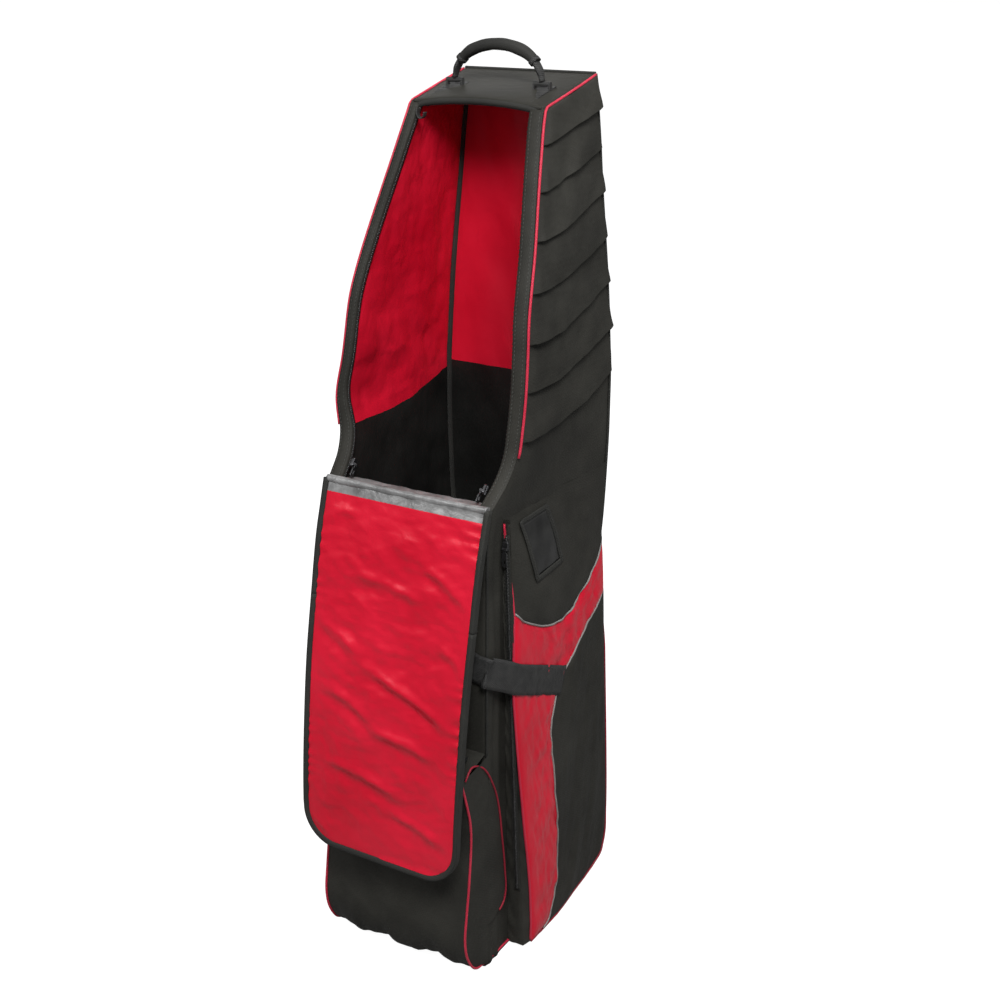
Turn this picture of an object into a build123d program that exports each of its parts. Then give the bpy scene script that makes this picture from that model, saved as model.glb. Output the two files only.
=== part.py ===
"""Golf travel case: soft padded body, fold-down front flap, zipped pockets, webbing and two wheels.

Millimetres. Origin on the floor under the middle of the case, +Z up, front faces -Y, +X to the right.
"""
import math
import os

from build123d import *

os.makedirs("parts", exist_ok=True)

# ---- case body: outside faces ----
FRONT_Y = -178.0
BACK_Y = 158.0
LOW_HALF = 131.0
WIDTHS = [(640, 131), (720, 133), (790, 144), (850, 149), (980, 148),
          (1063, 139), (1142, 126), (1200, 116), (1259, 106), (1302, 104)]
SHELL = 2.0
FOAM = 8.0
LINING = 2.0
ROOF_FOAM = 6.0
LINING_SPLIT_Z = 850.0
TRAY_TOP = 10.0
BOARD_TOP = 14.0
LEDGE_TOP = 743.0
LEDGE_BOTTOM = 726.0
LEDGE_BACK_Y = -140.0
BORDER = 22.0

# ---- side outline of the body, seen along X, as (y, z) ----
ROOF_LINE = [(8.3, 1261.8), (42.0, 1272.0), (87.0, 1282.0), (BACK_Y, 1298.0)]
MOUTH_LINE = [(FRONT_Y, 744.0), (-122.5, 803.5), (-104.4, 990.6), (8.3, 1261.8)]
OUTLINE = [(FRONT_Y, 2.0), (BACK_Y, 2.0)] + ROOF_LINE[::-1] + MOUTH_LINE[-2::-1]

# ---- front flap: three stiff lengths between soft folds, as (y, z) of each fold line ----
FLAP_FOLDS = [(-182.0, 748.0), (-203.9, 671.9), (-239.7, 488.5), (-266.0, 195.1)]
FLAP_THICK = 10.0
FLAP_HALF = 137.0
FLAP_CORNER = 55.0
FLAP_BINDING = 8.0
FLAP_LINING = 2.0
FOLD_GAP = 2.0

# ---- pockets ----
POUCH_WALL = 2.5
SIDE_POUCH_OUT = [(722, 134.4), (620, 141), (540, 148), (460, 151.5), (360, 156),
                  (254, 161), (139, 165), (60, 166), (4, 166)]
SIDE_POUCH_OUTLINE = [(-136.5, 720.0), (-108.0, 10.0), (-100.0, 4.0), (-3.0, 4.0), (48.0, 14.0),
                      (101.0, 23.0), (137.0, 46.0), (155.0, 83.0), (BACK_Y, 115.0), (BACK_Y, 721.0)]
FRONT_POUCH_HALF = 126.0
FRONT_POUCH_OUTLINE = [(FRONT_Y, 10.0), (FRONT_Y, 372.0), (-236.0, 353.0), (-240.0, 347.0),
                       (-226.0, 308.0), (-215.0, 264.0), (-215.5, 222.0), (-219.0, 182.0),
                       (-228.0, 118.0), (-233.0, 77.0), (-225.0, 45.0), (-201.0, 13.0)]

# ---- zips ----
TAPE_THICK = 0.8
TEETH_WIDE = 4.0
TEETH_HIGH = 1.4
SLIDER_WIDE = 9.0
SLIDER_LONG = 14.0
PIN_R = 1.2
PIN_UP = 7.2
PIN_CLEARANCE = 0.05
PULL_LONG = 26.0
SHORT_PULL = 18.0

# ---- compression strap ----
WEB = 2.0
STRAP_FRONT_LOW = 492.0
STRAP_FRONT_HIGH = 542.0

# ---- top handle ----
HANDLE_Y = 68.0
HANDLE_Z = 1286.8
HANDLE_FOOT_X = 71.0
HANDLE_APEX_Z = 1338.0

# ---- wheels ----
WHEEL_R = 36.0
WHEEL_X = 108.0
WHEEL_Y = 142.0
WHEEL_Z = 39.0
WHEEL_WIDE = 24.0
AXLE_R = 4.0


def save(node, shape):
    """One STEP file for one named piece."""
    export_step(shape, f"parts/{node}.step")


def box(x0, x1, y0, y1, z0, z1):
    """Block between two corners."""
    middle = ((x0 + x1) / 2, (y0 + y1) / 2, (z0 + z1) / 2)
    return Pos(*middle) * Box(x1 - x0, y1 - y0, z1 - z0)


def meet(a, b, c, d):
    """Point where the line a-b crosses the line c-d."""
    ux, uy = b[0] - a[0], b[1] - a[1]
    vx, vy = d[0] - c[0], d[1] - c[1]
    t = ((c[0] - a[0]) * vy - (c[1] - a[1]) * vx) / (ux * vy - uy * vx)
    return (a[0] + t * ux, a[1] + t * uy)


def shift(a, b, distance):
    """The line a-b moved to its left by a distance."""
    length = math.hypot(b[0] - a[0], b[1] - a[1])
    nx, ny = -(b[1] - a[1]) / length * distance, (b[0] - a[0]) / length * distance
    return (a[0] + nx, a[1] + ny), (b[0] + nx, b[1] + ny)


def inset(points, amounts):
    """A closed outline with each side moved inwards by its own amount."""
    count = len(points)
    lines = [shift(points[i], points[(i + 1) % count], amounts[i]) for i in range(count)]
    return [meet(*lines[i - 1], *lines[i]) for i in range(count)]


def offset_run(points, distance):
    """An open run of lines moved to its left by a distance."""
    lines = [shift(points[i], points[i + 1], distance) for i in range(len(points) - 1)]
    inner = [meet(*lines[i], *lines[i + 1]) for i in range(len(lines) - 1)]
    return [lines[0][0]] + inner + [lines[-1][1]]


def band(points, near, far):
    """Closed outline of the band between two offsets of an open run."""
    return offset_run(points, near) + offset_run(points, far)[::-1]


def along_x(outline, x0=-200.0, x1=200.0):
    """A side outline of (y, z) points pushed along X."""
    face = Plane.YZ * make_face(Polyline(*outline, close=True))
    return Pos((x0 + x1) / 2, 0, 0) * extrude(face, amount=(x1 - x0) / 2, both=True)


def along_y(points):
    """A front outline of (x, z) points pushed along Y through the whole case."""
    face = Plane.XZ * make_face(Polyline(*points, close=True))
    return extrude(face, amount=400, both=True)


def case_side(inset_x, sign=1):
    """Front outline of the case at one side, moved in by a distance."""
    return [(sign * (LOW_HALF - inset_x), 0)] + [(sign * (w - inset_x), z) for z, w in WIDTHS]


def case_core(inset_x):
    """Everything inside the two case sides, moved in by a distance."""
    return along_y(case_side(inset_x) + case_side(inset_x, -1)[::-1])


def case_layer(near, far):
    """One layer of the right side of the case, between two depths from its outside face."""
    return along_y(case_side(near) + case_side(far)[::-1])


def half_width(z):
    """Half the case's outside width at a height."""
    points = [(0, LOW_HALF)] + WIDTHS
    for (z0, w0), (z1, w1) in zip(points[:-1], points[1:]):
        if z <= z1:
            return w0 + (w1 - w0) * (z - z0) / (z1 - z0)
    return points[-1][1]


def outline_inset(bottom, back, roof, mouth, front):
    """The case's side outline with each part moved in by its own amount."""
    amounts = [bottom, back] + [roof] * 3 + [mouth] * 3 + [front]
    return inset(OUTLINE, amounts)


def other_side(shape):
    """The same piece on the left of the case."""
    return mirror(shape, about=Plane.YZ)


CORE_SHELL = case_core(SHELL)
CORE_FOAM = case_core(SHELL + FOAM)
CORE_LINING = case_core(SHELL + FOAM + LINING)
CORE_OUT = case_core(0)
DEPTH = SHELL + FOAM + LINING
HOUSING_ROOM = box(89.7, 129.0, 97.7, 160.0, -1.0, 86.3)
HOUSING_ROOMS = HOUSING_ROOM + other_side(HOUSING_ROOM)

# ---- outer fabric: five panels ----
shell_side = case_layer(0, SHELL) & along_x(OUTLINE)
save("shell_side_right", shell_side)
save("shell_side_left", other_side(shell_side))

back_slab = box(-160, 160, BACK_Y - SHELL, BACK_Y, 2, 1320)
shell_back = (back_slab & CORE_SHELL & along_x(OUTLINE)) - HOUSING_ROOMS
save("shell_back", shell_back)

in_front_of_back = box(-160, 160, 8.3, BACK_Y - SHELL, 1000, 1320)
shell_top = along_x(band(ROOF_LINE, 0, -SHELL)) & CORE_SHELL & in_front_of_back
save("shell_top", shell_top)

shell_front = box(-160, 160, FRONT_Y, FRONT_Y + SHELL, 2, LEDGE_TOP) & CORE_SHELL
save("shell_front", shell_front)

# ---- foam padding behind each outer panel ----
foam_outline = outline_inset(TRAY_TOP - 2, SHELL, SHELL, SHELL, SHELL)
foam_side = (case_layer(SHELL, SHELL + FOAM) & along_x(foam_outline)) - HOUSING_ROOM
save("foam_side_right", foam_side)
save("foam_side_left", other_side(foam_side))

foam_back_y = BACK_Y - SHELL - FOAM
foam_back = box(-160, 160, foam_back_y, BACK_Y - SHELL, TRAY_TOP, 1320) & CORE_FOAM
foam_back = (foam_back & along_x(foam_outline)) - HOUSING_ROOMS
save("foam_back", foam_back)

ahead_of_foam = box(-160, 160, 12.0, foam_back_y, 1000, 1320)
roof_depth = SHELL + ROOF_FOAM
foam_top = along_x(band(ROOF_LINE, -SHELL, -roof_depth)) & CORE_FOAM & ahead_of_foam
save("foam_top", foam_top)

foam_front_y = FRONT_Y + SHELL + FOAM
foam_front = box(-160, 160, FRONT_Y + SHELL, foam_front_y, TRAY_TOP, LEDGE_BOTTOM) & CORE_FOAM
save("foam_front", foam_front)

# ---- lining: red above the golf bag, black around it ----
lining_outline = outline_inset(BOARD_TOP - 2, SHELL + FOAM, roof_depth, SHELL, SHELL + FOAM)
lining_side = (case_layer(SHELL + FOAM, DEPTH) & along_x(lining_outline)) - HOUSING_ROOM
lining_back_y = BACK_Y - DEPTH
lining_back = box(-160, 160, lining_back_y, foam_back_y, BOARD_TOP, 1320) & CORE_LINING
lining_back = (lining_back & along_x(lining_outline)) - HOUSING_ROOMS
lining_roof = along_x(band(ROOF_LINE, -roof_depth, -roof_depth - LINING)) & CORE_LINING
lining_roof = lining_roof & box(-160, 160, 12.0, lining_back_y, 1000, 1320)
lining_front = box(-160, 160, foam_front_y, foam_front_y + LINING, BOARD_TOP, LEDGE_BOTTOM)
lining_front = lining_front & CORE_LINING
upper_half = box(-200, 200, -300, 300, LINING_SPLIT_Z, 1400)
lining_walls = lining_side + other_side(lining_side) + lining_back
lining_upper = (lining_walls & upper_half) + lining_roof
lining_lower = (lining_walls - upper_half) + lining_front
save("lining_upper", lining_upper)
save("lining_lower", lining_lower)

# ---- border round the mouth, with the zip welt on its inner edge ----
border_side = along_x(band(MOUTH_LINE, 0, -SHELL)) & case_layer(SHELL, BORDER)
welt = along_x(band(MOUTH_LINE, 0, -12.0)) & case_layer(BORDER, BORDER + SHELL)
border_side = (border_side + welt) & box(0, 200, -177.9, 8.2, 744.5, 1300)
border_top = box(-160, 160, 8.2, 11.8, 1249.0, 1259.8) & CORE_LINING
opening_border = border_side + other_side(border_side) + border_top
save("opening_border", opening_border)

# ---- padded ledge that closes the front panel's top edge ----
front_ledge = box(-160, 160, FRONT_Y + SHELL, LEDGE_BACK_Y, LEDGE_BOTTOM, LEDGE_TOP) & case_core(DEPTH)
ledge_edges = front_ledge.edges().filter_by(Axis.X).sort_by(Axis.Y)[-2:]
front_ledge = fillet(ledge_edges, 6.0)
save("front_ledge", front_ledge)

# ---- piping in the seam between side panel and mouth ----
piping_run = offset_run(MOUTH_LINE[1:] + ROOF_LINE[1:], -3.2)
piping_points = []
for start, end in zip(piping_run[:-1], piping_run[1:]):
    length = math.hypot(end[0] - start[0], end[1] - start[1])
    steps = max(2, round(length / 30))
    for i in range(steps):
        t = (i + 0.5) / steps
        y = start[0] + t * (end[0] - start[0])
        z = start[1] + t * (end[1] - start[1])
        piping_points.append((half_width(z) + 2.6, y, z))
piping_path = Spline(*piping_points)
piping_start = Plane(origin=piping_path @ 0, z_dir=piping_path % 0)
piping = sweep(piping_start * Circle(2.4), path=piping_path)
save("piping_right", piping)
save("piping_left", other_side(piping))

# ---- moulded tray under the case and the stiff board inside ----
base_tray = box(-129, 129, FRONT_Y + SHELL, BACK_Y - SHELL, 0, TRAY_TOP)
tray_edges = base_tray.edges().filter_by(Axis.Y).sort_by(Axis.Z)[:2]
base_tray = chamfer(tray_edges, 3.0) - HOUSING_ROOMS
for groove_x in (-75, -45, 45, 75):
    base_tray -= box(groove_x - 4, groove_x + 4, -150, 80, -1, 2)
save("base_tray", base_tray)
base_board = box(-121, 121, foam_front_y, foam_back_y, TRAY_TOP, BOARD_TOP) - HOUSING_ROOMS
save("base_board", base_board)


# ---- wheels in moulded corner housings ----
def wheel_disc(radius, x0, x1):
    """Round block on the wheel's axis."""
    plane = Plane(origin=(x0, WHEEL_Y, WHEEL_Z), z_dir=(1, 0, 0))
    return extrude(plane * Circle(radius), amount=x1 - x0)


housing = box(90, 129, 98, BACK_Y, 0.5, 86)
rim = box(83, 131, BACK_Y, BACK_Y + 2, 3, 97)
rim = fillet(rim.edges().filter_by(Axis.Y), 5.0)
wheel_room = wheel_disc(39.0, 94, 122)
wheel_room += box(94, 122, WHEEL_Y, 170, -5, WHEEL_Z + 39)
wheel_room += box(94, 122, WHEEL_Y - 39, 170, -5, WHEEL_Z)
housing -= wheel_room
housing -= wheel_disc(AXLE_R, 80, 140)
rim -= wheel_room
save("wheel_housing_right", housing)
save("wheel_housing_left", other_side(housing))
save("housing_rim_right", rim)
save("housing_rim_left", other_side(rim))

axle = wheel_disc(AXLE_R, 90.5, 128.5)
save("wheel_axles", Compound(children=[axle, other_side(axle)]))

wheel_low, wheel_high = WHEEL_X - WHEEL_WIDE / 2, WHEEL_X + WHEEL_WIDE / 2
tyre = wheel_disc(WHEEL_R, wheel_low, wheel_high)
tyre = fillet(tyre.edges().filter_by(GeomType.CIRCLE), 6.0)
tyre -= wheel_disc(27.0, wheel_low - 1, wheel_high + 1)
hub = wheel_disc(27.0, wheel_low + 3, wheel_high - 3)
hub -= wheel_disc(22.0, wheel_low - 1, wheel_low + 6) - wheel_disc(8.0, wheel_low - 2, wheel_high + 2)
hub -= wheel_disc(22.0, wheel_high - 6, wheel_high + 1) - wheel_disc(8.0, wheel_low - 2, wheel_high + 2)
for k in range(5):
    turn = math.radians(72 * k + 90)
    hole_y = WHEEL_Y + 15 * math.cos(turn)
    hole_z = WHEEL_Z + 15 * math.sin(turn)
    plane = Plane(origin=(wheel_low - 1, hole_y, hole_z), z_dir=(1, 0, 0))
    hub -= extrude(plane * Circle(4.5), amount=WHEEL_WIDE + 2)
hub -= wheel_disc(AXLE_R + PIN_CLEARANCE, wheel_low - 1, wheel_high + 1)
save("tyre_right", tyre)
save("tyre_left", other_side(tyre))
save("hub_right", hub)
save("hub_left", other_side(hub))

screws = []
for screw_x, screw_z in ((88.5, 12), (88.5, 50), (88.5, 88), (108, 90.5)):
    for side in (1, -1):
        plane = Plane(origin=(side * screw_x, BACK_Y + 2, screw_z), z_dir=(0, 1, 0))
        head = extrude(plane * Circle(3.0), amount=1.8)
        head = chamfer(head.edges().sort_by(Axis.Y)[-1], 0.6)
        head -= extrude(plane.offset(1.0) * Rectangle(4.4, 0.9), amount=2)
        head -= extrude(plane.offset(1.0) * Rectangle(0.9, 4.4), amount=2)
        screws.append(head)
save("housing_screws", Compound(children=screws))


# ---- side pockets: a pouch open to the case's side, flush at the top and deep at the bottom ----
def pouch_out(offset):
    """Front outline of the right side pocket's outside face."""
    return [(x + offset, z) for z, x in SIDE_POUCH_OUT]


def pouch_block(offset):
    """Everything from the case out to the side pocket's outside face."""
    return along_y(pouch_out(offset) + [(110, 4), (110, 722)])


def pouch_skin(near, far):
    """A sheet lying over the side pocket's outside face."""
    return along_y(pouch_out(near) + pouch_out(far)[::-1])


pouch_inner = inset(SIDE_POUCH_OUTLINE, [POUCH_WALL] * len(SIDE_POUCH_OUTLINE))
side_pocket = (pouch_block(0) & along_x(SIDE_POUCH_OUTLINE)) - CORE_OUT
side_pocket -= pouch_block(-POUCH_WALL) & along_x(pouch_inner)
side_pocket = max(side_pocket.solids(), key=lambda solid: solid.volume)
save("side_pocket_right", side_pocket)
save("side_pocket_left", other_side(side_pocket))


# ---- zip parts, drawn on their tape: X across, Y along, Z out of the tape ----
def slider_block():
    """Zip slider: body over the teeth and a cross pin on two posts."""
    body = box(-SLIDER_WIDE / 2, SLIDER_WIDE / 2, -SLIDER_LONG / 2, SLIDER_LONG / 2, 0.35, 4.4)
    body = fillet(body.edges().filter_by(Axis.Z), 2.5)
    body = fillet(body.edges().sort_by(Axis.Z)[-1], 0.8)
    half = TEETH_WIDE / 2 + 0.4
    body -= box(-half, half, -20, 20, 0, TEETH_HIGH + 0.4)
    for side in (-1, 1):
        body += box(side * 3.0 - 0.75, side * 3.0 + 0.75, -4.6, -1.0, 3.5, PIN_UP + 1.4)
    pin = Plane(origin=(-3.0, -2.8, PIN_UP), z_dir=(1, 0, 0)) * Circle(PIN_R)
    return body + extrude(pin, amount=6.0)


def pull_tab(length):
    """Zip pull hanging from the slider's pin."""
    eye = Plane(origin=(-2.0, -2.8, PIN_UP), z_dir=(1, 0, 0)) * Circle(PIN_R + 1.1)
    tab = extrude(eye, amount=4.0)
    tab += box(-2.0, 2.0, -9.0, -2.8, PIN_UP - 0.8, PIN_UP + 0.8)
    grip = box(-4.0, 4.0, -3.0 - length, -8.0, PIN_UP - 0.9, PIN_UP + 0.9)
    tab += fillet(grip.edges().filter_by(Axis.Z), 1.8)
    tab -= box(-1.6, 1.6, -length + 0.5, -length + 6.5, 4, 12)
    hole = Plane(origin=(-5.0, -2.8, PIN_UP), z_dir=(1, 0, 0)) * Circle(PIN_R + PIN_CLEARANCE)
    return tab - extrude(hole, amount=10.0)


def zip_row(length, low_side, high_side):
    """Zip tape with its row of closed teeth, running down from the top stop."""
    row = box(low_side, high_side, -length, 0, -TAPE_THICK, 0)
    return row + box(-TEETH_WIDE / 2, TEETH_WIDE / 2, -length + 4, -4, 0, TEETH_HIGH)


# ---- side pocket zips, in the narrow front face of each side pocket ----
gusset_dir = Vector(0.0184, 0.0401, -0.999).normalized()
gusset_out = Vector(0, -0.9992, -0.0401).normalized()
side_zip_top = Vector(136.6, -136.5 + 22 * 0.0401 - 1.0, 698)
zip_plane = Plane(origin=side_zip_top, x_dir=(-gusset_dir).cross(gusset_out), z_dir=gusset_out)
side_zip = zip_plane.location * zip_row(590, -5.2, 5.2)
side_zip -= CORE_OUT
save("side_zips", Compound(children=[side_zip, other_side(side_zip)]))
side_park = zip_plane.location * Pos(0, -16, 0)
side_slider = side_park * slider_block()
side_pull = side_park * pull_tab(PULL_LONG)
save("side_slider_right", side_slider)
save("side_slider_left", other_side(side_slider))
save("side_pull_right", side_pull)
save("side_pull_left", other_side(side_pull))

# ---- front pocket and its zip across the top ----
front_inner = inset(FRONT_POUCH_OUTLINE, [-5.0] + [POUCH_WALL] * 11)
front_pocket = along_x(FRONT_POUCH_OUTLINE, -FRONT_POUCH_HALF, FRONT_POUCH_HALF)
inner_half = FRONT_POUCH_HALF - POUCH_WALL
front_pocket -= along_x(front_inner, -inner_half, inner_half)
save("front_pocket", front_pocket)

top_slope = Vector(0, -58, -19).normalized()
top_out = Vector(0, -19, 58).normalized()
front_zip_mid = Vector(0, -204, 372 - 26 * 19 / 58) + top_out * 1.1
front_plane = Plane(origin=front_zip_mid + Vector(-104, 0, 0), x_dir=-top_slope, z_dir=top_out)
front_zip = front_plane.location * zip_row(208, -11, 11)
save("front_zip", front_zip)
front_park = front_plane.location * Pos(0, -190, 0)
save("front_slider", front_park * slider_block())
save("front_pull", front_park * pull_tab(PULL_LONG))

# ---- flap zip sliders, parked on the welt just above the ledge ----
run_up = Vector(0, MOUTH_LINE[1][0] - MOUTH_LINE[0][0], MOUTH_LINE[1][1] - MOUTH_LINE[0][1]).normalized()
run_in = Vector(0, run_up.Z, -run_up.Y)
park = Vector(0, *MOUTH_LINE[0]) + run_up * 34 + run_in * 6.2
flap_zip_x = half_width(park.Z - 4) - BORDER - SHELL - 1.4
park = Vector(flap_zip_x - 1.2, park.Y, park.Z)
flap_plane = Plane(origin=park, x_dir=run_up.cross(Vector(-1, 0, 0)), z_dir=(-1, 0, 0))
flap_slider = flap_plane.location * slider_block()
flap_pull = flap_plane.location * pull_tab(SHORT_PULL)
save("flap_slider_right", flap_slider)
save("flap_slider_left", other_side(flap_slider))
save("flap_pull_right", flap_pull)
save("flap_pull_left", other_side(flap_pull))


# ---- front flap, hanging open: lining faces forward, outer fabric faces the case ----
def flap_plate(fold, s0, s1, half0, half1, n0, n1, corner=0.0):
    """A plate on one length of the flap, from distance s0 to s1 below its upper fold."""
    (ya, za), (yb, zb) = FLAP_FOLDS[fold], FLAP_FOLDS[fold + 1]
    length = math.hypot(yb - ya, zb - za)
    down_y, down_z = (yb - ya) / length, (zb - za) / length
    plane = Plane(origin=(0, ya, za), x_dir=(1, 0, 0), z_dir=(0, down_z, -down_y))
    outline = [(-half0, -s0), (half0, -s0), (half1, -s1), (-half1, -s1)]
    face = make_face(Polyline(*outline, close=True))
    if corner:
        face = fillet(face.vertices().sort_by(Axis.Y)[:2], corner)
    return extrude(plane.offset(n0) * face, amount=n1 - n0)


def fold_length(fold):
    """Length of the flap between two folds."""
    (ya, za), (yb, zb) = FLAP_FOLDS[fold], FLAP_FOLDS[fold + 1]
    return math.hypot(yb - ya, zb - za)


half_thick = FLAP_THICK / 2
for fold, letter in enumerate("abc"):
    last = fold == 2
    s0 = 9.0 if fold == 0 else FOLD_GAP
    s1 = fold_length(fold) - (0.0 if last else FOLD_GAP)
    half1 = FLAP_HALF - 3 if last else FLAP_HALF
    trim = FLAP_BINDING if last else 0.0
    corner = FLAP_CORNER if last else 0.0
    inner = (FLAP_HALF - FLAP_BINDING, half1 - FLAP_BINDING)
    inner_corner = max(corner - FLAP_BINDING, 0.0)
    whole = flap_plate(fold, s0, s1, FLAP_HALF, half1, -half_thick, half_thick, corner)
    middle = flap_plate(fold, s0, s1 - trim, *inner, -half_thick, half_thick, inner_corner)
    face_depth = half_thick - 0.5
    skin = flap_plate(fold, s0, s1 - trim, *inner, face_depth - FLAP_LINING, face_depth, inner_corner)
    pad = flap_plate(fold, s0, s1 - trim, *inner, -face_depth, face_depth - FLAP_LINING, inner_corner)
    save(f"flap_binding_{letter}", whole - middle)
    save(f"flap_lining_{letter}", skin)
    save(f"flap_panel_{letter}", pad)


# ---- compression strap: webbing from each side pocket round to a buckle at the front ----
side_run = along_x([(-127.5, 449), (10, 389), (10, 437), (-127.5, 499)]) & pouch_skin(0.2, 0.2 + WEB)
back_end = side_run.faces().sort_by(Axis.Y)[0]
corner_face = Plane(origin=(134.5, -178.0, 517), x_dir=(1, 0, 0), z_dir=(0, -1, 0)) * Rectangle(WEB, 50)
start_face = Plane(origin=(152.2, -127.4, 474), x_dir=(1, 0, 0), z_dir=(0, -1, 0)) * Rectangle(WEB, 50)
bridge = loft([start_face.face(), corner_face.face()], ruled=True)
corner_web = box(133.5, 135.5, -182.6, -177.9, STRAP_FRONT_LOW, STRAP_FRONT_HIGH)
front_web = box(36.4, 135.5, -182.6, -180.6, STRAP_FRONT_LOW, STRAP_FRONT_HIGH)
strap = side_run + bridge + corner_web + front_web
loop_web = box(36.4, 38.4, -191.0, -182.5, STRAP_FRONT_LOW, STRAP_FRONT_HIGH)
save("strap_right", strap + loop_web)
save("strap_left", other_side(strap))

# ---- side-release buckle: socket on the right strap, tongue slides out to the left ----
socket = box(2, 36, -195, -184, 490, 544)
socket = fillet(socket.edges().filter_by(Axis.X), 3.0)
socket -= box(0, 29, -192.4, -186.6, 493.6, 540.4)
socket -= box(8, 22, -200, -180, 489, 493.7) + box(8, 22, -200, -180, 540.3, 545)
save("buckle_socket", socket)
tongue = box(-34, 1.5, -195, -184, 490, 544)
tongue = fillet(tongue.edges().filter_by(Axis.X), 3.0)
tongue -= box(-31, -26, -200, -180, 493, 541)
tongue += box(1.4, 26, -191.9, -187.1, 494.2, 501) + box(1.4, 26, -191.9, -187.1, 533, 539.8)
tongue += box(1.4, 20, -191.9, -187.1, 514, 520)
save("buckle_tongue", tongue)

# ---- name window on the right side pocket ----
window_line = [(-45, 599), (39, 605), (-3, 713), (-83, 705)]
window_hole = inset(window_line, [9.0] * 4)
window_glass = inset(window_line, [9.2] * 4)
id_frame = (along_x(window_line) - along_x(window_hole)) & pouch_skin(0.2, 1.8)
id_window = along_x(window_glass) & pouch_skin(0.3, 1.1)
save("id_frame", id_frame)
save("id_window", id_window)

# ---- top handle on two sewn webbing anchors ----
handle_top = [(-HANDLE_FOOT_X, HANDLE_Z + 3), (-66, 1306), (-44, 1328), (0, HANDLE_APEX_Z),
              (44, 1328), (66, 1306), (HANDLE_FOOT_X, HANDLE_Z + 3)]
front_view = Plane(origin=(0, HANDLE_Y, 0), x_dir=(1, 0, 0), z_dir=(0, -1, 0))
handle_path = front_view.location * Spline(*handle_top, tangents=[(0, 1), (0, -1)])
foot_plane = Plane(origin=handle_path @ 0, x_dir=(0, 1, 0), z_dir=handle_path % 0)
handle = sweep(foot_plane * RectangleRounded(11, 5, 1.5), path=handle_path)
grip_path = front_view.location * Spline((-44, 1328), (-23, 1335.6), (0, HANDLE_APEX_Z), (23, 1335.6), (44, 1328))
grip_plane = Plane(origin=grip_path @ 0, x_dir=(0, 1, 0), z_dir=grip_path % 0)
handle += sweep(grip_plane * RectangleRounded(22, 19, 8), path=grip_path)


def on_handle_axis(radius, x0, x1):
    """Round bar on the handle's fold line."""
    plane = Plane(origin=(x0, HANDLE_Y, HANDLE_Z), z_dir=(1, 0, 0))
    return extrude(plane * Circle(radius), amount=x1 - x0)


anchor_parts = []
for side in (-1, 1):
    middle = side * HANDLE_FOOT_X
    handle += on_handle_axis(6.0, middle - 10, middle + 10)
    handle -= on_handle_axis(3.5 + PIN_CLEARANCE, middle - 20, middle + 20)
    tab = along_x(band(ROOF_LINE, WEB + 0.1, 0.1), middle - 13.5, middle + 13.5)
    tab = tab & box(-100, 100, 14, 84, 1200, 1400)
    tab += on_handle_axis(3.5, middle - 13.5, middle + 13.5)
    for lug in (-1, 1):
        lug_x = middle + lug * 12.1
        tab += box(lug_x - 1.4, lug_x + 1.4, HANDLE_Y - 3.5, HANDLE_Y + 3.5, 1278.6, HANDLE_Z)
    anchor_parts.append(tab)
save("top_handle", handle)
save("handle_anchors", Compound(children=anchor_parts))
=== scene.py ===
import math

import bpy
import numpy as np
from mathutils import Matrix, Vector


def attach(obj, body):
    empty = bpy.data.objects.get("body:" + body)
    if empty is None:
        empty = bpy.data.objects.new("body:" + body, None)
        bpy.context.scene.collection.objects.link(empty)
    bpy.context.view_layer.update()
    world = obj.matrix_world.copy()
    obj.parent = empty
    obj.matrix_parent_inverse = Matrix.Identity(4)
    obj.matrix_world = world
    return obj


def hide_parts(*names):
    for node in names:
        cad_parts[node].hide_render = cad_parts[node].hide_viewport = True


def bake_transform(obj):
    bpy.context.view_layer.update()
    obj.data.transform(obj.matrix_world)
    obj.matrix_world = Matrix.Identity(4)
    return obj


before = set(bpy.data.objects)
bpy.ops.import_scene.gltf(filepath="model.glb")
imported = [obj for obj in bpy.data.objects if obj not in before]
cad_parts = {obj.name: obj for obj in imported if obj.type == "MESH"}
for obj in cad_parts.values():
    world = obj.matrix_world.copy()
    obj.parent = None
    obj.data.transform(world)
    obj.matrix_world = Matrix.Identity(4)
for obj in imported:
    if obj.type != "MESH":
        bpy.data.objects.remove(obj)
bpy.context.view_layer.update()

# ---------------------------------------------------------------------------
# Studio: the case stands on a plain pale floor under large soft lamps. The
# camera looks down on its open front from the right.
# ---------------------------------------------------------------------------
scene = bpy.context.scene
scene.view_settings.view_transform = "Standard"

camera_data = bpy.data.cameras.new("camera")
camera = bpy.data.objects.new("camera", camera_data)
scene.collection.objects.link(camera)
scene.camera = camera
camera.location = (1.10956, -1.83398, 1.46973)
camera_aim = Vector((0, 0, 0.68326)) - camera.location
camera.rotation_mode = "QUATERNION"
camera.rotation_quaternion = camera_aim.to_track_quat("-Z", "Y")
camera_data.sensor_width = 36
camera_data.lens = 54.485
camera_data.shift_x = 0.027
camera_data.shift_y = -0.0014
camera_data.clip_start = 0.05


def soft_lamp(name, place, aim, width, height, watts):
    """A rectangular studio lamp turned towards a point."""
    data = bpy.data.lights.new(name, "AREA")
    data.shape = "RECTANGLE"
    data.size, data.size_y = width, height
    data.energy = watts
    lamp = bpy.data.objects.new(name, data)
    lamp.location = place
    lamp.rotation_mode = "QUATERNION"
    lamp.rotation_quaternion = (Vector(aim) - Vector(place)).to_track_quat("-Z", "Y")
    scene.collection.objects.link(lamp)


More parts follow.
